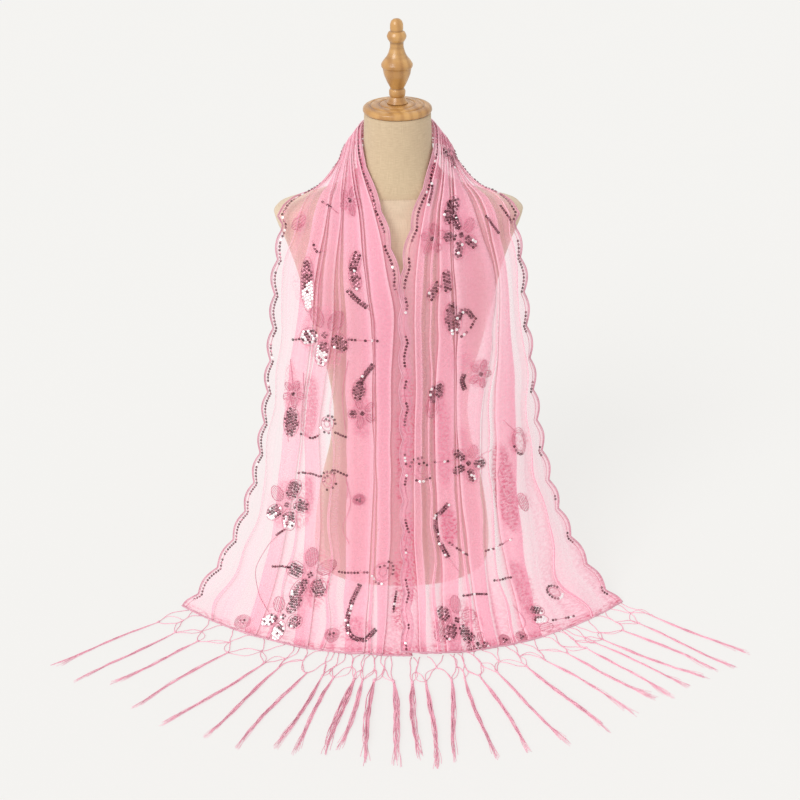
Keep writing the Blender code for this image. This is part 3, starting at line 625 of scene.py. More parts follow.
def pressed(run, share, width):
    # Height of the fine gathers, the hem's waves and the soft troughs over the plain cloth.
    far = np.abs(run)
    fine = stole["fine"] * (1.0 - stole["fineLoss"] * past(far, *stole["fineFade"]))
    drift = stole["drift"] * ripple(run, 3, 1.7, 3)
    total = fine * ripple(share + drift * 0.08, 11, 9.0, 5)
    soft = ripple(share + drift * 0.3, 23, 3.1, 4)
    total += stole["soft"] * past(far, *stole["softStart"]) * soft
    waves = ripple(share + np.sign(run) * 0.3 + (far - 0.9) * 0.5, 61, 2.7, 4)
    total += stole["hemWave"] * past(far, *stole["hemStart"]) * np.clip(
        stole["hemMiddle"] + waves, 0.0, stole["hemHighest"])
    down = past(far, *stole["troughSlant"])
    wander = stole["troughWander"] * ripple(run, 5, 2.3, 3)
    for side, atShoulder, atHem, deepest, reach, depth, wide in troughs:
        middle = atShoulder + (atHem - atShoulder) * down + wander
        near = np.exp(-((share - middle) * width / (wide / 2000.0)) ** 2)
        total -= (np.sign(run) == side) * depth / 1000.0 * near * np.exp(
            -((far - deepest) / reach) ** 2)
    return total


def foldTurn(path, share, low, high, size):
    # The rounded edge of a fold, from one layer to the next; the size is signed.
    for turn in (-60.0, 0.0, 60.0):
        path.append((share - size * (1.0 - math.cos(math.radians(turn))),
                     (low + high) / 2.0 + (high - low) / 2.0 * math.sin(math.radians(turn)),
                     1.0, 0.0))


def straight(path, goal, layer, count):
    start = path[-1][0]
    path.extend((start + (goal - start) * i / count, layer, 0.0, 0.0) for i in range(1, count))


def uneven(run, seed, lowest, count):
    return float(ripple(np.array(run), seed, lowest, count))


def foldsAcross(run):
    # Near share, far share, slope past it and shade beside it of every pleat, neck edge outwards.
    halfMm = 0.0005 / float(rowWidth(run))               # half a millimetre, as a share
    mains = []
    for order, (places, widths, drop) in enumerate(leftPleats if run < 0.0 else rightPleats):
        place, wide = (float(smoothTable(stations, table, abs(run))) for table in (places, widths))
        place += stole["pleatWander"] * uneven(run, 140 + order, 3.1, 4)
        half = wide * (1.0 + stole["pleatUneven"] * uneven(run, 170 + order, 4.3, 4)) * halfMm
        mains.append((place - half, place + half, drop, 1.0))
    folds = []
    fine = float(smoothTable(stations, finePleat, abs(run))) * halfMm
    for order, main in enumerate(mains):
        folds.append(main)
        space = (mains[order + 1][0] if order + 1 < len(mains) else stole["lastFold"]) - main[1]
        wander = stole["fineWander"] * uneven(run, 190 + order, 3.7, 3)
        middle = main[1] + space * (stole["finePlace"] + wander)
        half = min(fine * (1.0 + stole["fineUneven"] * uneven(run, 200 + order, 5.1, 3)),
                   stole["fineWidest"] * space)
        folds.append((middle - half, middle + half, stole["drop"], 0.0))
    return folds


def scallopWave(run, innerEdge):
    # The left half's neck edge is half a scallop out of step, so the two edges run side by side.
    shift = 0.5 if innerEdge and run < 0.0 else 0.0
    blend = float(past(abs(run), *stole["outOfStep"]))
    return abs(math.sin(math.pi * (run / stole["scallopPitch"] + shift * blend)))


def pleatPath(run):
    # Share, layer (0 to 2), crease and shade of every column of one row.
    width = float(rowWidth(run))
    depth = stole["scallopDepth"] * min(1.0, width / stole["scallopFullWidth"])
    inset = stole["neckScallop"] * depth / width * (1.0 - scallopWave(run, True))
    size = stole["foldRound"] / width
    path = [(inset, 0.0, 0.0, 0.0)]
    top, drop = 0.0, stole["drop"]
    for near, far, nextDrop, strength in foldsAcross(run):
        turn = min(size, (far - near) * 0.25)
        start = path[-1][0]
        shaded = min(stole["shadeMost"], stole["shadeReach"] / width / max(near - start, 1e-6))
        steepShade = stole["shade"] * (drop < stole["steepDrop"])
        for part, shade in ((0.2, steepShade), (0.4, 0.0), (0.6, 0.0),
                            (1.0 - shaded, stole["shadeStart"] * strength),
                            (1.0, stole["shade"] * strength)):
            path.append((start + (near - start) * part,
                         top * (1.0 - float(softStep(part / drop))), 0.0, shade))
        straight(path, far, 0.0, 4)
        foldTurn(path, far, 0.0, 1.0, turn)
        straight(path, near, 1.0, 3)
        foldTurn(path, near, 1.0, 2.0, -turn)
        straight(path, far, 2.0, 6)
        path.append((far, 2.0, 0.0, 0.0))
        top, drop = 2.0, nextDrop
    start = path[-1][0]
    edge = 1.0 - depth / width * (1.0 - scallopWave(run, False))
    for step in range(1, 9):
        share = start + (edge - start) * step / 8.0
        path.append((share, top * (1.0 - float(softStep(step / 6.0))), 0.0, 0.0))
    return path


def sheetRows():
    step = stole["rowStep"]
    first, last = math.ceil(runs[0] / step) + 1, math.floor(runs[-1] / step) - 1
    return np.array([runs[0], *[i * step for i in range(first, last + 1)], runs[-1]])


rowRuns = sheetRows()
paths = np.array([pleatPath(run) for run in rowRuns])
shares, layers, creases, shades = (paths[..., i] for i in range(4))
columns = shares.shape[1]
runGrid = np.repeat(rowRuns[:, None], columns, axis=1)
flatRun, flatShare = runGrid.ravel(), shares.ravel()
outwards = outward(bareCloth, flatRun, flatShare)
rise = (smoothTable(runs, extras, flatRun)[..., 1] * layers.ravel() / 2.0
        + pressed(flatRun, flatShare, rowWidth(flatRun)))
clothPoints = bareCloth(flatRun, flatShare) + outwards * rise[:, None]
clothPoints[:, 2] = np.maximum(clothPoints[:, 2], stole["lowest"])
clothPoints = clothPoints.reshape(len(rowRuns), columns, 3)
outwards = outwards.reshape(len(rowRuns), columns, 3)
lengths = walked(clothPoints, 1)
print("cloth laid out in", len(rowRuns), "rows of", columns, "points")


# Motifs: kind, side, run, share, size in millimetres, turn in degrees, share of its petals that
# are worked in thread alone, share of its sequins painted bright as glints.
motifs = (
    ("flower", -1, 0.400, 0.565, 92, 12, 0.4, 0.30), ("leaf", -1, 0.322, 0.688, 66, 92, 0.0, 0.50),
    ("petal", -1, 0.281, 0.312, 26, 60, 0.0, 0.00), ("petal", -1, 0.306, 0.325, 28, 96, 0.0, 0.10),
    ("petal", -1, 0.492, 0.325, 32, 82, 0.0, 0.00), ("petal", -1, 0.562, 0.763, 42, 88, 0.0, 0.00),
    ("flower", -1, 0.510, 0.765, 46, 30, 1.0, 0.00), ("flower", -1, 0.532, 0.300, 50, 5, 0.8, 0.05),
    ("rosette", -1, 0.556, 0.525, 27, 20, 0.0, 0.00), ("rosette", -1, 0.660, 0.490, 28, 70, 0.0, 0.00),
    ("flower", -1, 0.716, 0.720, 88, 40, 0.2, 0.22), ("flower", -1, 0.838, 0.500, 96, -8, 0.4, 0.12),
    ("flower", -1, 0.920, 0.560, 80, 25, 0.2, 0.35), ("rosette", -1, 0.829, 0.145, 36, 0, 0.0, 0.10),
    ("disc", -1, 0.948, 0.720, 29, 0, 1.0, 0.00), ("disc", -1, 0.692, 0.300, 20, 0, 1.0, 0.00),
    ("petal", -1, 0.228, 0.800, 22, 30, 1.0, 0.00), ("flower", -1, 0.190, 0.330, 40, 30, 0.9, 0.00),
    ("disc", -1, 0.940, 0.330, 24, 0, 1.0, 0.00), ("flower", -1, 0.030, 0.620, 56, 70, 0.4, 0.10),
    ("flower", 1, 0.245, 0.455, 62, 32, 0.2, 0.20), ("flower", 1, 0.248, 0.215, 44, 50, 1.0, 0.00),
    ("petal", 1, 0.207, 0.375, 34, 118, 0.0, 0.10), ("petal", 1, 0.326, 0.250, 26, 130, 0.0, 0.15),
    ("petal", 1, 0.312, 0.340, 26, 80, 0.0, 0.00), ("petal", 1, 0.372, 0.385, 42, 84, 0.0, 0.15),
    ("petal", 1, 0.520, 0.220, 36, 100, 1.0, 0.00), ("petal", 1, 0.492, 0.270, 24, 100, 0.0, 0.00),
    ("flower", 1, 0.628, 0.435, 66, 8, 0.3, 0.10), ("rosette", 1, 0.634, 0.135, 38, 30, 0.0, 0.05),
    ("oval", 1, 0.606, 0.800, 44, 84, 1.0, 0.00), ("petal", 1, 0.719, 0.750, 32, 75, 1.0, 0.00),
    ("ring", 1, 0.896, 0.740, 28, 30, 0.0, 0.10), ("petal", 1, 0.918, 0.615, 24, 20, 0.0, 0.00),
    ("petal", 1, 0.936, 0.612, 25, 10, 0.0, 0.60), ("petal", 1, 0.953, 0.620, 24, 5, 1.0, 0.00),
    ("flower", 1, 0.915, 0.245, 78, 60, 0.4, 0.05), ("petal", 1, 0.930, 0.180, 44, 130, 1.0, 0.00),
    ("flower", 1, 0.958, 0.310, 44, 20, 0.2, 0.20), ("disc", 1, 0.958, 0.425, 20, 0, 1.0, 0.00),
    ("disc", 1, 0.958, 0.500, 20, 0, 1.0, 0.00), ("petal", 1, 0.150, 0.140, 22, 40, 1.0, 0.00),
    ("flower", 1, 0.470, 0.560, 46, 80, 1.0, 0.00), ("flower", 1, 0.110, 0.500, 50, 10, 0.4, 0.10),
)
# Patches worked all over with pink thread: side, run, share, half length and half width in
# millimetres, strength.
patches = (
    (-1, 0.86, 0.44, 40, 17, 1.0), (-1, 0.55, 0.30, 30, 16, 0.6), (-1, 0.71, 0.62, 55, 15, 0.8),
    (-1, 0.50, 0.80, 45, 11, 0.6), (-1, 0.93, 0.24, 22, 30, 0.7), (-1, 0.62, 0.06, 90, 12, 0.9),
    (-1, 0.86, 0.05, 80, 12, 0.9), (-1, 0.42, 0.50, 34, 14, 0.7), (1, 0.745, 0.275, 36, 17, 1.0),
    (1, 0.685, 0.65, 85, 21, 0.9), (1, 0.88, 0.60, 60, 18, 0.7), (1, 0.55, 0.06, 110, 11, 0.8),
    (1, 0.80, 0.05, 90, 12, 0.9), (1, 0.92, 0.30, 26, 22, 0.8), (1, 0.44, 0.42, 30, 16, 0.6),
    (1, 0.245, 0.22, 26, 18, 0.6), (-1, 0.14, 0.27, 40, 18, 0.7), (1, 0.60, 0.40, 40, 14, 0.6),
    (-1, 0.53, 0.65, 60, 15, 0.75), (1, 0.585, 0.28, 90, 13, 0.7),
)
# The net: its painted glow, how much one layer covers, and the scales of its patterns.
net = {"paintedGlow": 0.07, "cover": 0.085, "streaks": (300.0, 2.4), "folds": (85.0, 1.6),
       "specks": 560.0, "curls": 215.0, "clouds": (230.0, 190.0),
       # thread worked round a motif, as shares of its size, and how strongly
       "around": (0.52, 0.44), "ground": 0.35, "inThread": 0.35,
       # how a patch of it ends, and thread on the borders and hems
       "patchEnd": 1.15, "patchFade": 0.35, "border": 0.9, "hemDepth": 0.016, "hemFade": 0.010}


def tulleFinish():
    made, graph, shader = finish("tulle", Roughness=0.62, Sheen_Weight=0.20,
                                 Emission_Strength=net["paintedGlow"])
    uv = uvCoords(graph)
    streak = uv.scaled(*net["streaks"]).noise(1.0, 3.0, 0.6)
    fold = uv.scaled(*net["folds"]).noise(1.0, 2.0, 0.6)
    speck = uv.noise(net["specks"], 2.0, 0.6).between(0.36, 0.66)
    curl = uv.noise(net["curls"], 3.0, 0.65).between(0.43, 0.60)
    cloud = uv.scaled(*net["clouds"]).noise(1.0, 2.0).between(0.36, 0.64)
    gather, crease, thread, shade = (stored(graph, name)
                                     for name in ("gather", "crease", "worked", "shade"))
    cover = net["cover"] + streak * 0.09 + fold * 0.12 + speck * 0.05 + cloud * 0.04
    thick = gather * (1.0 + crease * 0.9 + shade * 0.6) + thread * (0.4 + curl * 3.2)
    plain = (streak * 0.3 + fold * 0.45 + speck * 0.25).between(0.25, 0.75).blend(
        tint(252, 198, 213), tint(240, 158, 182))
    # Worked thread deepens the pink as its own colour. Beside each pleat the pink is deepened as painted
    # shade. Where the net is crowded it is deepened partly as its own deeper colour and partly as painted
    # shade.
    crowdingAndShade = gather.between(1.5, 5.0) * (0.10 + cloud * 0.30)
    deep = (thread * (0.10 + curl * 0.85) + shade * 0.6 + crowdingAndShade).blend(plain, tint(206, 92, 122))
    # Fold edges are painted a lighter pink as a painted highlight.
    lit = (crease * 0.65).blend(deep, tint(255, 214, 225))
    # The net glows faintly in its own colour, which is painted light.
    feed(graph, shader, Base_Color=lit, Alpha=1.0 - (1.0 - cover) ** thick, Emission_Color=lit,
         Normal=bump(graph, streak * 0.5 + fold * 1.5 + cloud * 0.7, 0.5, 0.0012))
    return made


def netThickness():
    # Thickness of net at every point, in flat layers.
    thick = np.empty(shares.shape)
    for row, run in enumerate(rowRuns):
        table = leftDensity if run < 0.0 else rightDensity
        thick[row] = np.interp(shares[row], densityShares, smoothTable(stations, table, abs(run)))
    return thick * np.where(layers > 0.5, stole["underShare"], 1.0)


def workedOver():
    # How thickly every point is worked with thread: patches, the ground round each motif, both
    # long borders and the hems.
    thread = np.zeros(flatRun.shape)
    along, across = net["around"]
    around = [(side, run, share, size * along, size * across,
               net["ground"] + net["inThread"] * inThread)
              for _, side, run, share, size, _, inThread, _ in motifs]
    for side, run, share, halfLong, halfWide, strength in (*patches, *around):
        near = (((flatRun - side * run) * 1000.0 / halfLong) ** 2
                + ((flatShare - share) * rowWidth(flatRun) * 1000.0 / halfWide) ** 2)
        patch = softStep((net["patchEnd"] - near) / net["patchFade"])
        thread = np.maximum(thread, strength * patch)
    border = np.zeros(shares.shape)
    border[:, [0, -1]] = net["border"]
    hems = softStep((np.abs(flatRun) - runs[-1] + net["hemDepth"]) / net["hemFade"])
    return np.maximum(np.maximum(thread, border.ravel()), hems)


def buildStole():
    obj = addPiece("stoleCloth", clothPoints.reshape(-1, 3), gridFaces(len(rowRuns), columns),
                   tulleFinish())
    across = lengths.mean(axis=0) * stole["cutWidth"] / lengths.mean(axis=0)[-1]
    uv = np.stack([np.broadcast_to(across, lengths.shape), runGrid], axis=-1)
    setUv(obj.data, uv.reshape(-1, 2))
    for name, values in (("gather", netThickness()), ("crease", creases), ("shade", shades),
                         ("worked", workedOver())):
        setValue(obj.data, name, values)
    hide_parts("stole_left_fall", "stole_nape", "stole_right_fall")
    return obj


stoleCloth = buildStole()
print("stole cloth built")


# Radius and unevenness of the corded edges and hems, and the fine cord beside each edge.
edging = {"edge": 0.0010, "edgeUneven": 0.00015, "inner": 0.0005, "innerInset": 0.0026,
          "innerLift": 0.0002, "hem": 0.0016, "hemUneven": 0.0005, "hemLift": 0.0016,
          "step": 0.003, "innerStep": 0.004, "lowest": 0.0009}


def atColumn(row, column):
    # The cloth's point and the way out of it, between two columns of one row.
    cell = min(int(column), columns - 2)
    rest = column - cell
    return [grid[row, cell] * (1.0 - rest) + grid[row, cell + 1] * rest
            for grid in (clothPoints, outwards)]


def clothAt(run, column, across):
    # A point of the cloth and the way out of it, so far along the folded row from a column.
    row = float(np.interp(run, rowRuns, np.arange(len(rowRuns))))
    low = min(int(row), len(rowRuns) - 2)
    part = row - low
    found = []
    for index in (low, low + 1):
        start = np.interp(column, np.arange(columns), lengths[index])
        found.append(atColumn(index, np.interp(start + across, lengths[index], np.arange(columns))))
    point, normal = (here * (1.0 - part) + there * part for here, there in zip(*found))
    return point, normal / np.linalg.norm(normal)


def edgeLine(column, inset):
    # A line along one border, so far inside its edge.
    line, ways = [], []
    for index, run in enumerate(rowRuns):
        point, way = clothAt(run, column, inset)
        line.append(point)
        ways.append(way)
    return np.array(line), np.array(ways)


def lifted(line, ways, height):
    line = line + ways * height
    line[:, 2] = np.maximum(line[:, 2], edging["lowest"])
    return line


def buildEdges():
    cords = []
    for column, inward in ((0, 1.0), (columns - 1, -1.0)):
        line, ways = edgeLine(column, 0.0)
        line, ways = resample(lifted(line, ways, 0.0), edging["step"], ways)
        wobble = ripple(np.arange(len(line)) * 0.05, 31 + column, 1.0, 3)
        cords.append((line, edging["edge"] + edging["edgeUneven"] * wobble))
        line, ways = edgeLine(column, inward * edging["innerInset"])
        line = resample(lifted(line, ways, edging["innerLift"]), edging["innerStep"])[0]
        cords.append((line, np.full(len(line), edging["inner"])))
    for row in (0, len(rowRuns) - 1):
        line = resample(clothPoints[row] + (0.0, 0.0, edging["hemLift"]), edging["step"])[0]
        wobble = ripple(np.arange(len(line)) * 0.3, 47 + row, 1.0, 4)
        cords.append((line, edging["hem"] + edging["hemUneven"] * wobble))
    thread = threadFinish("edgeThread", tint(230, 170, 186), tint(196, 132, 150))
    return tubes("scallopCord", cords, 5, thread)


sequins = {"radius": 0.0022, "hole": 0.30, "sides": 8, "cup": 0.0003, "lift": 0.0012,
           "lowest": 0.0014, "tilt": 0.17, "forward": 0.7, "forwardWay": (0.0, -0.9, 0.4),
           "forwardReach": 0.1, "pitch": 0.0044, "stemPitch": 0.0053, "stemKept": 0.74,
           "edgePitch": 0.0057, "edgeInset": 0.0085, "edgeSize": 0.95, "stretch": 1.2,
           "sewable": (0.03, 0.97), "endMargin": 0.002,
           # tones: 1 is painted bright as a glint, as are those of a motif that lie past a line towards
           # the light
           "lightWay": (0.8, 0.6), "lightLine": 0.52, "lightStray": 0.12, "motifDull": 0.7,
           "dull": 0.6, "stemGlint": 0.10, "edgeGlint": 0.05}
# How much of each long border is sewn with sequins, -1 none and 1 all, from the left hem to the
# right one: places along the neck edge and the outer edge, then the amounts.
borderSequins = (
    ((0.00, 0.31, 0.33, 0.42, 0.58, 0.68, 0.80, 0.90, 1.00),
     (-0.9, -0.8, 0.3, 0.6, 0.7, 0.2, -0.1, -0.2, 0.0)),
    ((0.00, 0.04, 0.38, 0.46, 0.60, 0.70, 0.74, 1.00), (0.0, 0.7, 0.7, 0.0, 0.4, 0.0, -0.35, -0.30)),
)
# Stems: side, sequins along it (0 thread alone, 1 spaced, 2 close together, 3 two close rows),
# then its points as (run, share).
stems = (
    (-1, 1, ((0.200, 0.62), (0.204, 0.54), (0.211, 0.45))),
    (-1, 3, ((0.325, 0.38), (0.336, 0.34), (0.349, 0.27))),
    (-1, 0, ((0.349, 0.263), (0.375, 0.225), (0.450, 0.225), (0.520, 0.23))),
    (-1, 3, ((0.447, 0.24), (0.462, 0.285), (0.478, 0.32))),
    (-1, 0, ((0.470, 0.70), (0.520, 0.69), (0.570, 0.69), (0.581, 0.66))),
    (-1, 0, ((0.647, 0.39), (0.670, 0.37), (0.690, 0.37))),
    (-1, 1, ((0.416, 0.79), (0.410, 0.70))), (-1, 1, ((0.404, 0.40), (0.405, 0.30), (0.405, 0.21))),
    (-1, 1, ((0.581, 0.69), (0.585, 0.62), (0.577, 0.57))), (-1, 1, ((0.572, 0.47), (0.576, 0.40))),
    (-1, 1, ((0.653, 0.68), (0.650, 0.60), (0.654, 0.54))), (-1, 1, ((0.640, 0.47), (0.647, 0.38))),
    (-1, 2, ((0.835, 0.70), (0.829, 0.58))), (-1, 1, ((0.829, 0.36), (0.829, 0.22))),
    (-1, 0, ((0.763, 0.70), (0.800, 0.765), (0.841, 0.785), (0.885, 0.72), (0.929, 0.60))),
    (-1, 2, ((0.763, 0.70), (0.776, 0.735))),
    (-1, 3, ((0.852, 0.25), (0.880, 0.272), (0.912, 0.280), (0.940, 0.250), (0.948, 0.20),
             (0.929, 0.155))),
    (-1, 2, ((0.868, 0.075), (0.901, 0.085))), (-1, 0, ((0.44, 0.40), (0.50, 0.43), (0.57, 0.40))),
    (-1, 0, ((0.66, 0.38), (0.70, 0.345), (0.745, 0.375), (0.775, 0.33))),
    (-1, 0, ((0.45, 0.80), (0.50, 0.77), (0.55, 0.80), (0.60, 0.77))),
    (-1, 1, ((0.255, 0.66), (0.270, 0.61), (0.265, 0.53))),
    (1, 3, ((0.195, 0.35), (0.215, 0.40), (0.232, 0.44))),
    (1, 3, ((0.372, 0.425), (0.360, 0.455), (0.361, 0.49), (0.372, 0.525))),
    (1, 1, ((0.375, 0.55), (0.392, 0.50), (0.402, 0.44))),
    (1, 3, ((0.487, 0.235), (0.495, 0.215), (0.512, 0.22))),
    (1, 3, ((0.468, 0.44), (0.478, 0.425), (0.492, 0.44))),
    (1, 3, ((0.702, 0.285), (0.735, 0.20), (0.770, 0.215), (0.800, 0.25))),
    (1, 1, ((0.796, 0.463), (0.790, 0.54), (0.780, 0.63))),
    (1, 2, ((0.874, 0.30), (0.872, 0.36), (0.874, 0.41))), (1, 1, ((0.852, 0.47), (0.850, 0.57))),
    (1, 1, ((0.625, 0.19), (0.622, 0.28), (0.620, 0.36))), (1, 0, ((0.62, 0.50), (0.61, 0.60))),
    (1, 0, ((0.70, 0.27), (0.74, 0.21), (0.79, 0.24), (0.83, 0.30))),
    (1, 1, ((0.775, 0.27), (0.800, 0.36))), (1, 0, ((0.62, 0.70), (0.66, 0.62), (0.70, 0.64))),
    (1, 2, ((0.165, 0.10), (0.180, 0.13), (0.196, 0.13))), (1, 2, ((0.222, 0.70), (0.245, 0.78))),
    (1, 2, ((0.215, 0.86), (0.230, 0.90))), (1, 0, ((0.90, 0.52), (0.93, 0.545), (0.955, 0.50))),
    (1, 1, ((0.945, 0.66), (0.950, 0.76))), (1, 0, ((0.560, 0.70), (0.590, 0.79))),
)
# Embroidery thread: radius and lift of a motif's, a stem's and a border's line.
embroidery = {"motif": (0.00050, 0.0005), "stem": (0.00050, 0.0004), "border": (0.00042, 0.0003),
              "satinPitch": 0.0030, "stemPoints": 28, "stemStep": 0.003}


def ellipseFill(halfLong, halfWide, pitch):
    spots = []
    rows = int(halfWide / (pitch * 0.87)) + 1
    for row in range(-rows, rows + 1):
        y = row * pitch * 0.87
        count = int(halfLong / pitch) + 1
        for i in range(-count, count + 1):
            x = (i + 0.5 * (row % 2)) * pitch
            if (x / halfLong) ** 2 + (y / halfWide) ** 2 <= 1.0:
                spots.append((x, y))
    return spots


def ellipseLine(halfLong, halfWide, count):
    turns = np.linspace(0.0, 2.0 * math.pi, count)
    return [(halfLong * math.cos(t), halfWide * math.sin(t)) for t in turns]


def turnedBy(spots, turn, shift):
    return [((x + shift) * math.cos(turn) - y * math.sin(turn),
             (x + shift) * math.sin(turn) + y * math.cos(turn)) for x, y in spots]


def satin(halfLong, halfWide):
    # Rows of thread along a petal.
    lines = []
    for row in np.arange(-halfWide + 0.0010, halfWide, embroidery["satinPitch"]):
        half = halfLong * math.sqrt(max(0.0, 1.0 - (row / halfWide) ** 2))
        lines.append([(-half, row), (-half * 0.3, row + 0.0004), (half * 0.4, row - 0.0003), (half, row)])
    return lines


def petalShape(halfLong, halfWide, inThread):
    if inThread:
        return [], satin(halfLong, halfWide) + [ellipseLine(halfLong, halfWide, 14)]
    return (ellipseFill(halfLong, halfWide, sequins["pitch"]),
            [ellipseLine(halfLong * 1.12, halfWide * 1.2, 16)])


def motifShape(kind, size, inThread):
    # Sequin spots and thread lines of a motif on its own plane, in metres.
    pitch = sequins["pitch"]
    spots, lines = [], []
    if kind == "flower":
        for petal in range(5):
            turn = petal * 2.0 * math.pi / 5.0
            half = size * (0.165, 0.185, 0.150, 0.175, 0.160)[petal]
            fill, threads = petalShape(half, size * 0.115, petal >= round(5.0 * (1.0 - inThread)))
            spots += turnedBy(fill, turn, size * 0.29)
            lines += [turnedBy(line, turn, size * 0.29) for line in threads]
        spots += ellipseLine(size * 0.035, size * 0.035, 5)[:-1]
    elif kind in ("petal", "leaf"):
        spots, lines = petalShape(size * 0.5, size * (0.15 if kind == "leaf" else 0.28), inThread > 0)
    elif kind == "oval":
        lines = [ellipseLine(size * part, size * part * 0.62, 20) for part in (0.5, 0.42, 0.34)]
        spots = ellipseLine(size * 0.46, size * 0.28, 19)[:5]
    elif kind == "rosette":
        for start, part, radius in ((0.05, 0.20, 0.5), (0.45, 0.22, 0.5), (0.60, 0.24, 0.28)):
            count = max(3, int(2.0 * math.pi * size * radius * part / pitch))
            turns = (np.linspace(0.0, part, count) + start) * 2.0 * math.pi
            spots += [(size * radius * math.cos(t), size * radius * math.sin(t)) for t in turns]
        lines = [ellipseLine(size * part, size * part, 20) for part in (0.40, 0.18)]
    elif kind == "ring":
        count = int(2.0 * math.pi * size * 0.44 / pitch)
        spots = ellipseLine(size * 0.5, size * 0.36, count)[: int(count * 0.85)]
        lines = [ellipseLine(size * 0.36, size * 0.24, 18)]
    else:                                                # a disc
        lines = [ellipseLine(size * part, size * part * 0.84, 16)
                 for part in (0.5, 0.42, 0.34, 0.26, 0.18, 0.1)]
        spots = ellipseLine(size * 0.16, size * 0.12, 4)[:-1]
    return spots, lines


def topColumn(row, share):
    # The column of the outermost layer at a share of one row.
    best, bestLayer = 0.0, -1.0
    here = shares[row]
    for i in range(columns - 1):
        low, high = here[i], here[i + 1]
        if min(low, high) <= share <= max(low, high) and low != high:
            part = (share - low) / (high - low)
            layer = layers[row, i] + (layers[row, i + 1] - layers[row, i]) * part
            if layer > bestLayer:
                best, bestLayer = i + part, layer
    return best


def onTop(runsHere, sharesHere):
    # Points on the outermost layer of the folded cloth, and the way out of it.
    at = np.interp(runsHere, rowRuns, np.arange(len(rowRuns)))
    rows = np.clip(at.astype(int), 0, len(rowRuns) - 2)
    points, ways = [], []
    for row, part, share in zip(rows, at - rows, sharesHere):
        share = np.clip(share, *sequins["sewable"])
        found = [atColumn(index, topColumn(index, share)) for index in (row, row + 1)]
        spot, way = (here * (1.0 - part) + there * part for here, there in zip(*found))
        points.append(spot)
        ways.append(way / np.linalg.norm(way))
    return np.array(points), np.array(ways)


def onCloth(side, run, share, turn, spots):
    # Carries a plane motif onto the outermost layer.
    spots = np.array(spots).reshape(-1, 2)
    cos, sin = math.cos(turn), math.sin(turn)
    runsHere = side * (run + sequins["stretch"] * (spots[:, 0] * sin + spots[:, 1] * cos))
    runsHere = np.clip(runsHere, runs[0] + sequins["endMargin"], runs[-1] - sequins["endMargin"])
    across = (spots[:, 0] * cos - spots[:, 1] * sin) / rowWidth(runsHere)
    return onTop(runsHere, share + across)


def laid(line, ways, kind):
    # A line of embroidery thread on the cloth: its points and its radii.
    radius, height = embroidery[kind]
    return lifted(line, ways, height), np.full(len(line), radius)


def tonesAndGlintsOf(dice, count, glint):
    # Dark to mid pink, and a share of them painted bright as glints.
    return np.where(dice.random(count) < glint, 1.0, dice.uniform(0.0, sequins["dull"], count))


def sewMotifs(dice):
    sewn, threads = [], []
    for kind, side, run, share, size, turn, inThread, glint in motifs:
        flat, lines = motifShape(kind, size / 1000.0, inThread)
        turn = math.radians(turn)
        if flat:
            points, ways = onCloth(side, run, share, turn, flat)
            toLight = (np.array(flat) @ sequins["lightWay"] / (size / 1000.0)
                       + dice.normal(0.0, sequins["lightStray"], len(flat)))
            tonesAndGlints = np.where(toLight > sequins["lightLine"] - glint, 1.0,
                             dice.uniform(0.0, sequins["motifDull"], len(flat)))
            sewn.append((points, ways, np.ones(len(points)), tonesAndGlints))
        threads += [laid(*onCloth(side, run, share, turn, line), "motif") for line in lines]
    return sewn, threads


def sewStems(dice):
    sewn, threads = [], []
    for side, close, anchors in stems:
        at = np.array(anchors, float)
        dense = smoothTable(np.arange(len(at)), at,
                            np.linspace(0.0, len(at) - 1.0, embroidery["stemPoints"]))
        line, ways = onTop(side * dense[:, 0], dense[:, 1])
        line, ways = resample(line, embroidery["stemStep"], ways)
        threads.append(laid(line, ways, "stem"))
        if close == 0:
            continue
        pitch = sequins["pitch"] if close >= 2 else sequins["stemPitch"]
        points, ways = resample(line, pitch, ways)
        if close == 3:
            # Two rows side by side.
            aside = np.cross(ways, np.gradient(points, axis=0))
            aside *= 0.5 * pitch / (np.linalg.norm(aside, axis=1, keepdims=True) + 1e-9)
            points, ways = np.concatenate([points + aside, points - aside]), np.tile(ways, (2, 1))
        keep = dice.random(len(points)) < (1.0 if close >= 2 else sequins["stemKept"])
        count = int(keep.sum())
        sewn.append((points[keep], ways[keep], np.ones(count),
                     tonesAndGlintsOf(dice, count, sequins["stemGlint"])))
    return sewn, threads


def sewBorders(dice):
    sewn, threads = [], []
    for column, inward, amounts in ((0, 1.0, borderSequins[0]), (columns - 1, -1.0, borderSequins[1])):
        line, ways = edgeLine(column, inward * sequins["edgeInset"])
        line, ways = resample(line, sequins["edgePitch"], ways)
        threads.append(laid(line, ways, "border"))
        along = np.interp(np.linspace(0.0, 1.0, len(line)), *amounts)
        keep = ripple(np.arange(len(line)) * sequins["edgePitch"], 90 + column, 9.0, 4) < along
        count = int(keep.sum())
        sewn.append((line[keep], ways[keep], np.full(count, sequins["edgeSize"]),
                     tonesAndGlintsOf(dice, count, sequins["edgeGlint"])))
    return sewn, threads


def buildDecoration():
    # Sews the threads on, and gives the sequins' places, ways out, sizes, and tones with their painted
    # glints.
    dice = np.random.default_rng(77)
    sewn, threads = [], []
    for sew in (sewMotifs, sewStems, sewBorders):
        moreSewn, moreThreads = sew(dice)
        sewn += moreSewn
        threads += moreThreads
    thread = threadFinish("motifThread", tint(236, 150, 172), tint(190, 92, 120))
    return (tubes("motifThreads", threads, 4, thread),
            [np.concatenate(values) for values in zip(*sewn)])


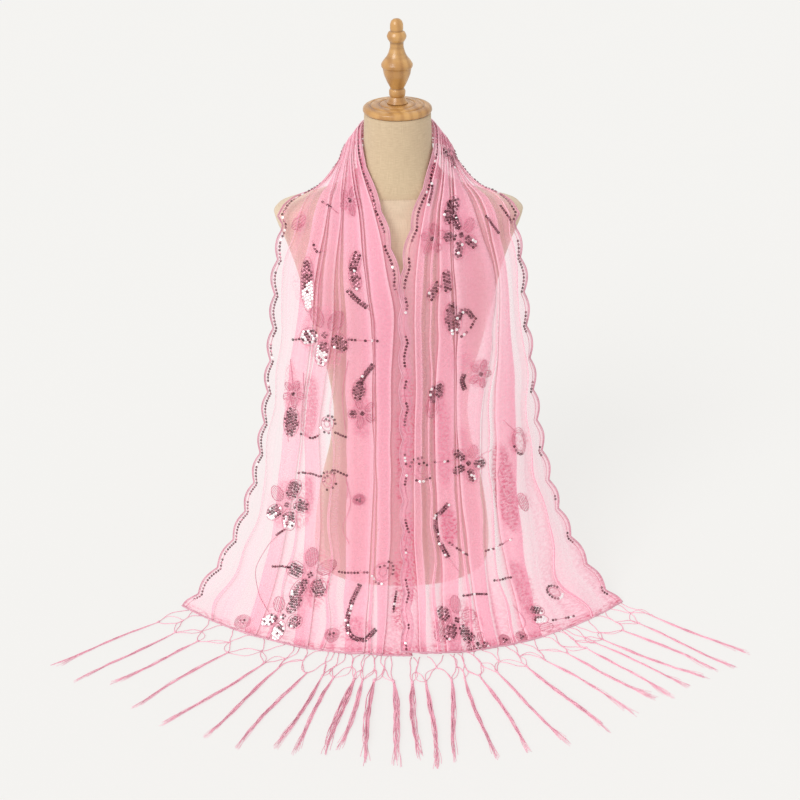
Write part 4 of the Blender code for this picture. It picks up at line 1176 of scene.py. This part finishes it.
def sequinFinish():
    made, graph, shader = finish("sequin", Metallic=0.75)
    toneAndGlint = stored(graph, "toneAndGlint")
    fleck = objectCoords(graph).noise(400.0)
    dark = (toneAndGlint * 1.1 + fleck * 0.3).between(0.25, 0.95).blend(tint(74, 34, 44), tint(176, 116, 130))
    # Tones near 1 are painted white as painted glints.
    feed(graph, shader, Base_Color=toneAndGlint.between(0.80, 0.90).blend(dark, tint(255, 252, 252)),
         Roughness=0.18 + fleck * 0.14)
    return made


def sequinGroup():
    # Geometry Nodes: one small cupped disc on every point, turned to the point's own way.
    tree = bpy.data.node_groups.new("sewSequins", "GeometryNodeTree")
    for label, kind in (("Geometry", "Geometry"), ("Radius", "Float"), ("Hole", "Float"),
                        ("Sides", "Int"), ("Cup", "Float"), ("Material", "Material")):
        tree.interface.new_socket(label, in_out="INPUT", socket_type="NodeSocket" + kind)
    tree.interface.new_socket("Geometry", in_out="OUTPUT", socket_type="NodeSocketGeometry")
    graph = Graph(tree)
    source = tree.nodes.new("NodeGroupInput")
    given = {socket.name: Wire(graph, socket) for socket in source.outputs if socket.name}
    disc = graph.node("GeometryNodeMeshCone", {"fill_type": "NONE"}, {
        "Vertices": given["Sides"], "Radius Top": given["Radius"] * given["Hole"],
        "Radius Bottom": given["Radius"], "Depth": given["Cup"]})
    facing = graph.node("GeometryNodeInputNamedAttribute", {"data_type": "FLOAT_VECTOR"},
                        {"Name": "facing"})
    size = graph.node("GeometryNodeInputNamedAttribute", {"data_type": "FLOAT"}, {"Name": "size"})
    rotation = graph.node("FunctionNodeAlignRotationToVector", {"axis": "Z"}, {"Vector": facing})
    placed = graph.node("GeometryNodeInstanceOnPoints", {}, {
        "Points": given["Geometry"], "Instance": disc, "Rotation": rotation, "Scale": size})
    real = graph.node("GeometryNodeRealizeInstances", {}, {"Geometry": placed})
    dressed = graph.node("GeometryNodeSetMaterial", {}, {"Geometry": real,
                                                         "Material": given["Material"]})
    tree.links.new(dressed.socket, tree.nodes.new("NodeGroupOutput").inputs["Geometry"])
    return tree


def buildSequins(spots, ways, sizes, tonesAndGlints):
    dice = np.random.default_rng(5)
    # They hang loose and tip forward of the cloth a little.
    front = np.clip(-spots[:, 1:2] / sequins["forwardReach"], 0.0, 1.0)
    forward = front * sequins["forward"] * sequins["forwardWay"]
    facing = ways + forward + dice.normal(0.0, sequins["tilt"], ways.shape)
    facing /= np.linalg.norm(facing, axis=1, keepdims=True)
    points = spots + ways * sequins["lift"]
    points[:, 2] = np.maximum(points[:, 2], sequins["lowest"])
    mesh = bpy.data.meshes.new("sequinPoints")
    mesh.from_pydata([tuple(map(float, p)) for p in points], [], [])
    setValue(mesh, "facing", facing, "FLOAT_VECTOR")
    setValue(mesh, "size", sizes)
    setValue(mesh, "toneAndGlint", tonesAndGlints)
    source = bpy.data.objects.new("sequinPoints", mesh)
    bpy.context.scene.collection.objects.link(source)
    modifier = source.modifiers.new("sew", "NODES")
    modifier.node_group = sequinGroup()
    values = {"Radius": sequins["radius"], "Hole": sequins["hole"], "Sides": sequins["sides"],
              "Cup": sequins["cup"], "Material": sequinFinish()}
    for item in modifier.node_group.interface.items_tree:
        if item.in_out == "INPUT" and item.name in values:
            modifier[item.identifier] = values[item.name]
    made = bpy.data.meshes.new_from_object(
        source.evaluated_get(bpy.context.evaluated_depsgraph_get()))
    made.name = "sequins"
    source.modifiers.remove(modifier)
    bpy.data.objects.remove(source, do_unlink=True)
    return keepPiece("sequins", made)


scallopCord = buildEdges()
motifThreads, sewn = buildDecoration()
sequinPiece = buildSequins(*sewn)
print("edges and", len(sewn[0]), "sequins sewn on")


# A cord of the fringe's net bows to a side by up to its slack, a share of its own length.
fringe = {"netDepth": 0.060, "stripOffset": 0.004, "leftStart": 0.055, "rightStart": 0.020,
          "hemClear": 0.0005, "spread": 0.30, "cord": 0.00090, "thinCord": 0.8, "cordPoints": 9,
          "cordWiggle": 0.04, "cordRise": 0.0008, "rim": 0.0008, "knot": 0.0021, "netKnot": 0.85,
          "knotLong": 1.25, "slack": (0.16, 0.20, 0.34), "endSlack": 0.15, "knotStray": 0.0022,
          "headStray": 0.0008, "lowest": 0.0006,
          # a tassel's bulk along it
          "headBulk": 0.30, "headShare": 0.26, "frayStart": 0.72, "frayShare": 0.28,
          "tipLoss": 0.70, "sway": 0.007, "bulkUneven": (0.95, 1.10),
          # the yarns in it
          "yarns": 15, "yarnPoints": 22, "yarn": 0.00085, "thicker": 40.0, "taper": 0.5,
          "stray": 0.0028, "out": (0.15, 0.95), "reach": (0.86, 1.0), "wave": 0.0008,
          "waves": (14.0, 26.0), "pile": 0.55,
          # the binding of its head
          "bound": 0.006, "boundHeight": 0.6, "boundShape": (0.8, 0.9, 0.75, 0.6),
          "boundLeast": 0.0010, "boundShare": 0.32}
# Tassels from the middle border outwards: place along the hem, fan in degrees, length and width
# in millimetres.
leftTassels = (
    (0.085, -4, 185, 13), (0.130, 6, 180, 14), (0.160, 12, 155, 8), (0.190, 13, 165, 13),
    (0.250, 21, 175, 6), (0.295, 21, 170, 6), (0.335, 32, 190, 6), (0.435, 36, 185, 6),
    (0.475, 46, 210, 7), (0.630, 49, 190, 6), (0.765, 53, 165, 5), (0.880, 50, 190, 4),
    (0.960, 58, 200, 4),
)
rightTassels = (
    (0.040, 1, 165, 13), (0.080, 4, 185, 9), (0.185, 1, 175, 9), (0.215, 11, 180, 6),
    (0.250, 23, 180, 6), (0.300, 33, 190, 5), (0.410, 37, 190, 6), (0.465, 49, 185, 4),
    (0.565, 50, 170, 4), (0.655, 46, 175, 4), (0.685, 55, 180, 4), (0.720, 57, 190, 4),
    (0.830, 55, 175, 4), (0.915, 53, 185, 4), (0.985, 54, 180, 4),
)


def fanWay(side, angle):
    return np.array([side * math.sin(angle), -math.cos(angle), 0.0])


def hemPoint(side, share, beyond, fan):
    run = runs[0] if side < 0.0 else runs[-1]
    hem, above = bareCloth(np.array([run, run - side * 0.02]), np.array([share, share]))
    out = (hem - above) * (1.0, 1.0, 0.0)
    out /= np.linalg.norm(out)
    reach = min(1.0, beyond / fringe["netDepth"])
    out = out * (1.0 - reach) + fanWay(side, fan) * reach
    out /= np.linalg.norm(out)
    return hem * (1.0, 1.0, 0.0) + out * beyond


def slackCord(start, end, slack, radius, dice):
    # A thin cord that lies in a loose curve between two knots.
    part = np.linspace(0.0, 1.0, fringe["cordPoints"])[:, None]
    way = end - start
    side = np.array([way[1], -way[0], 0.0])
    bend = slack * dice.uniform(-1.0, 1.0)
    line = start + way * part + side * bend * 4.0 * part * (1.0 - part)
    wiggle = fringe["cordWiggle"] * np.sin(part * 6.0 + dice.uniform(0.0, 6.0))
    line = line + side * wiggle * np.sin(math.pi * part)
    line[:, 2] = fringe["lowest"] + radius + fringe["cordRise"] * np.sin(math.pi * part[:, 0])
    return line, np.full(len(part), radius)


def knotBlob(place, way, radius):
    part = np.linspace(-1.0, 1.0, 7)
    line = place + np.outer(part, way) * radius * fringe["knotLong"]
    line[:, 2] = fringe["lowest"] + radius
    return line, radius * np.sqrt(np.clip(1.08 - part**2, 0.05, 1.0))


def tassel(side, head, way, length, bulk, step, dice):
    # A soft bunch of yarns, bound at its head and frayed at its tip.
    across = np.array([way[1], -way[0], 0.0])
    part = np.linspace(0.0, 1.0, fringe["yarnPoints"])
    sway = fringe["sway"] * np.sin(2.3 * step + side + 3.0 * part) * part
    fray = past(part, fringe["frayStart"], fringe["frayShare"])
    full = fringe["headBulk"] + (1.0 - fringe["headBulk"]) * softStep(part / fringe["headShare"])
    body = bulk * full * (1.0 - fringe["tipLoss"] * fray)
    strands = []
    for strand in range(fringe["yarns"]):
        turn = 2.0 * math.pi * strand / fringe["yarns"] + dice.uniform(-0.3, 0.3)
        out = dice.uniform(*fringe["out"])
        reach = dice.uniform(*fringe["reach"])
        stray = dice.normal(0.0, fringe["stray"])
        wave = fringe["wave"] * np.sin(part * dice.uniform(*fringe["waves"]) + dice.uniform(0.0, 6.0))
        sidewise = body * out * math.cos(turn) + wave * np.minimum(1.0, part * 4.0) + stray * fray
        line = head + np.outer(part * length * reach, way) + np.outer(sway + sidewise, across)
        radius = fringe["yarn"] * (0.75 + fringe["thicker"] * bulk) * (1.0 - fringe["taper"] * part)
        height = body * out * (1.0 + math.sin(turn)) * fringe["pile"]
        line[:, 2] = fringe["lowest"] + radius + height
        strands.append((line, radius))
    shape = np.array(fringe["boundShape"])
    bound = head + np.outer(np.linspace(0.0, fringe["bound"], len(shape)), way)
    bound[:, 2] = fringe["lowest"] + bulk * fringe["boundHeight"]
    strands.append((bound, shape * (fringe["boundLeast"] + bulk * fringe["boundShare"])))
    return strands


def buildFringe(name, node, side, start, tassels, seed, yarn):
    dice = np.random.default_rng(seed)
    places = [place for place, _, _, _ in tassels]
    fans = [math.radians(degrees) for _, degrees, _, _ in tassels]
    count = len(tassels)

    def atStep(values, step):
        # A value between two tassels, or past the first or last one.
        index = min(max(int(math.floor(step)), 0), count - 2)
        return values[index] + (values[index + 1] - values[index]) * (step - index)

    def point(step, depth, stray=0.0):
        share = min(max(atStep(places, step), start), 1.0)
        fan = atStep(fans, min(max(step, 0.0), count - 1.0))
        return hemPoint(side, share, depth, fan) + dice.normal(0.0, 1.0, 3) * (stray, stray, 0.0)

    middle = (fringe["stripOffset"] + fringe["netDepth"]) / 2.0
    knots = [point(step - 0.5, middle, fringe["knotStray"]) for step in range(1, count)]
    heads = [point(step, fringe["netDepth"], fringe["headStray"]) for step in range(count)]
    cord, strands = fringe["cord"], []
    upper, lower, loose = fringe["slack"]
    for step, knot in enumerate(knots):
        for offset in (-fringe["spread"], fringe["spread"]):
            sewnOn = point(step + 0.5 + offset, fringe["hemClear"])
            strands.append(slackCord(sewnOn, knot, upper, cord, dice))
        for head in (heads[step], heads[step + 1]):
            strands.append(slackCord(knot, head, lower, cord, dice))
            strands.append(slackCord(knot, head, loose, cord * fringe["thinCord"], dice))
        way = fanWay(side, atStep(fans, step + 0.5))
        strands.append(knotBlob(knot, way, fringe["knot"] * fringe["netKnot"]))
    for step, head in ((0.0, heads[0]), (count - 1.0, heads[-1])):
        sewnOn = point(step, fringe["hemClear"])
        strands.append(slackCord(sewnOn, head, fringe["endSlack"], cord, dice))
    rim = np.array([point(step, fringe["rim"]) for step in np.linspace(-1.0, count, count * 6)])
    rim[:, 2] = fringe["lowest"] + fringe["rim"]
    strands.append((rim, np.full(len(rim), fringe["rim"])))
    for step, (_, _, lengthMm, widthMm) in enumerate(tassels):
        bulk = widthMm / 2000.0 * dice.uniform(*fringe["bulkUneven"])
        way = fanWay(side, fans[step])
        strands.append(knotBlob(heads[step], way, fringe["knot"]))
        strands += tassel(side, heads[step], way, lengthMm / 1000.0, bulk, step, dice)
    obj = tubes(name, strands, 4, yarn)
    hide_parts(node)
    return obj


fringeYarn = threadFinish("fringeYarn", tint(250, 188, 205), tint(222, 152, 171))
fringeLeft = buildFringe("fringeLeft", "fringe_left", -1.0, fringe["leftStart"], leftTassels, 21,
                         fringeYarn)
fringeRight = buildFringe("fringeRight", "fringe_right", 1.0, fringe["rightStart"], rightTassels, 22,
                          fringeYarn)
print("fringe built")


stitching = {"pitch": 0.0042, "clear": 0.0001, "out": 1.0006, "arch": 1.004,
             "radii": (0.0003, 0.0004, 0.0003)}


def buildSeam():
    # Running stitches round the seam of the neck's cover.
    turns = np.linspace(0.0, 2.0 * math.pi, 721)
    ring = formRing(form["seamHeight"], -stitching["clear"], turns)
    ring = resample(ring, stitching["pitch"] / 2.0)[0]
    stitches = []
    for i in range(0, len(ring) - 1, 2):
        line = np.array([ring[i], (ring[i] + ring[i + 1]) / 2.0, ring[i + 1]])
        line[:, :2] *= stitching["out"]
        line[1, :2] *= stitching["arch"]
        stitches.append((line, np.array(stitching["radii"])))
    thread = threadFinish("stitchThread", tint(206, 182, 150), tint(182, 156, 124))
    tubes("neckSeam", stitches, 5, thread)


buildSeam()


studio = {"floorHalf": 14.0, "floorGlow": 0.690, "world": 0.85, "sun": 1.6, "sunSpread": 34.0,
          "sunWay": (0.52, 0.62, -0.58), "netLayers": 64}
camera = {"place": (0.0, -1.736, 1.363), "tilt": 30.64, "roll": -0.6, "lens": 51.345,
          "sensor": 36.0, "shift": -0.0006}


def floorFinish():
    # Pale and faintly lit from below, so that shadows on it stay soft.
    made, graph, shader = finish("paleFloor", Roughness=0.9, Specular_IOR_Level=0.0,
                                 Emission_Strength=studio["floorGlow"])
    speck = objectCoords(graph).noise(3.0)
    feed(graph, shader, Base_Color=speck.blend(tint(120, 120, 119), tint(122, 122, 121)),
         Emission_Color=speck.blend(tint(255, 254, 251), tint(255, 253, 250)))
    return made


def link(name, data):
    obj = bpy.data.objects.new(name, data)
    bpy.context.scene.collection.objects.link(obj)
    return obj


def buildFloor():
    half = studio["floorHalf"]
    mesh = bpy.data.meshes.new("floor")
    mesh.from_pydata([(-half, -half, 0.0), (half, -half, 0.0), (half, half, 0.0), (-half, half, 0.0)],
                     [], [(0, 1, 2, 3)])
    mesh.materials.append(floorFinish())
    link("floor", mesh)


def buildLight():
    world = bpy.data.worlds.new("studio")
    bpy.context.scene.world = world
    world.use_nodes = True
    sky = world.node_tree.nodes["Background"]
    sky.inputs["Color"].default_value = (1.0, 1.0, 1.0, 1.0)
    sky.inputs["Strength"].default_value = studio["world"]
    key = bpy.data.lights.new("key", "SUN")
    key.energy = studio["sun"]
    key.angle = math.radians(studio["sunSpread"])
    link("key", key).rotation_euler = Vector(studio["sunWay"]).to_track_quat("-Z", "Y").to_euler()


def buildCamera():
    lens = bpy.data.cameras.new("camera")
    lens.sensor_width = camera["sensor"]
    lens.lens = camera["lens"]
    lens.shift_x = camera["shift"]
    view = link("camera", lens)
    view.matrix_world = (Matrix.Translation(Vector(camera["place"]))
                         @ Matrix.Rotation(math.radians(90.0 - camera["tilt"]), 4, "X")
                         @ Matrix.Rotation(math.radians(camera["roll"]), 4, "Z"))
    scene = bpy.context.scene
    scene.camera = view
    scene.view_settings.view_transform = "Standard"
    scene.cycles.transparent_max_bounces = studio["netLayers"]


buildFloor()
buildLight()
buildCamera()
print("studio set")
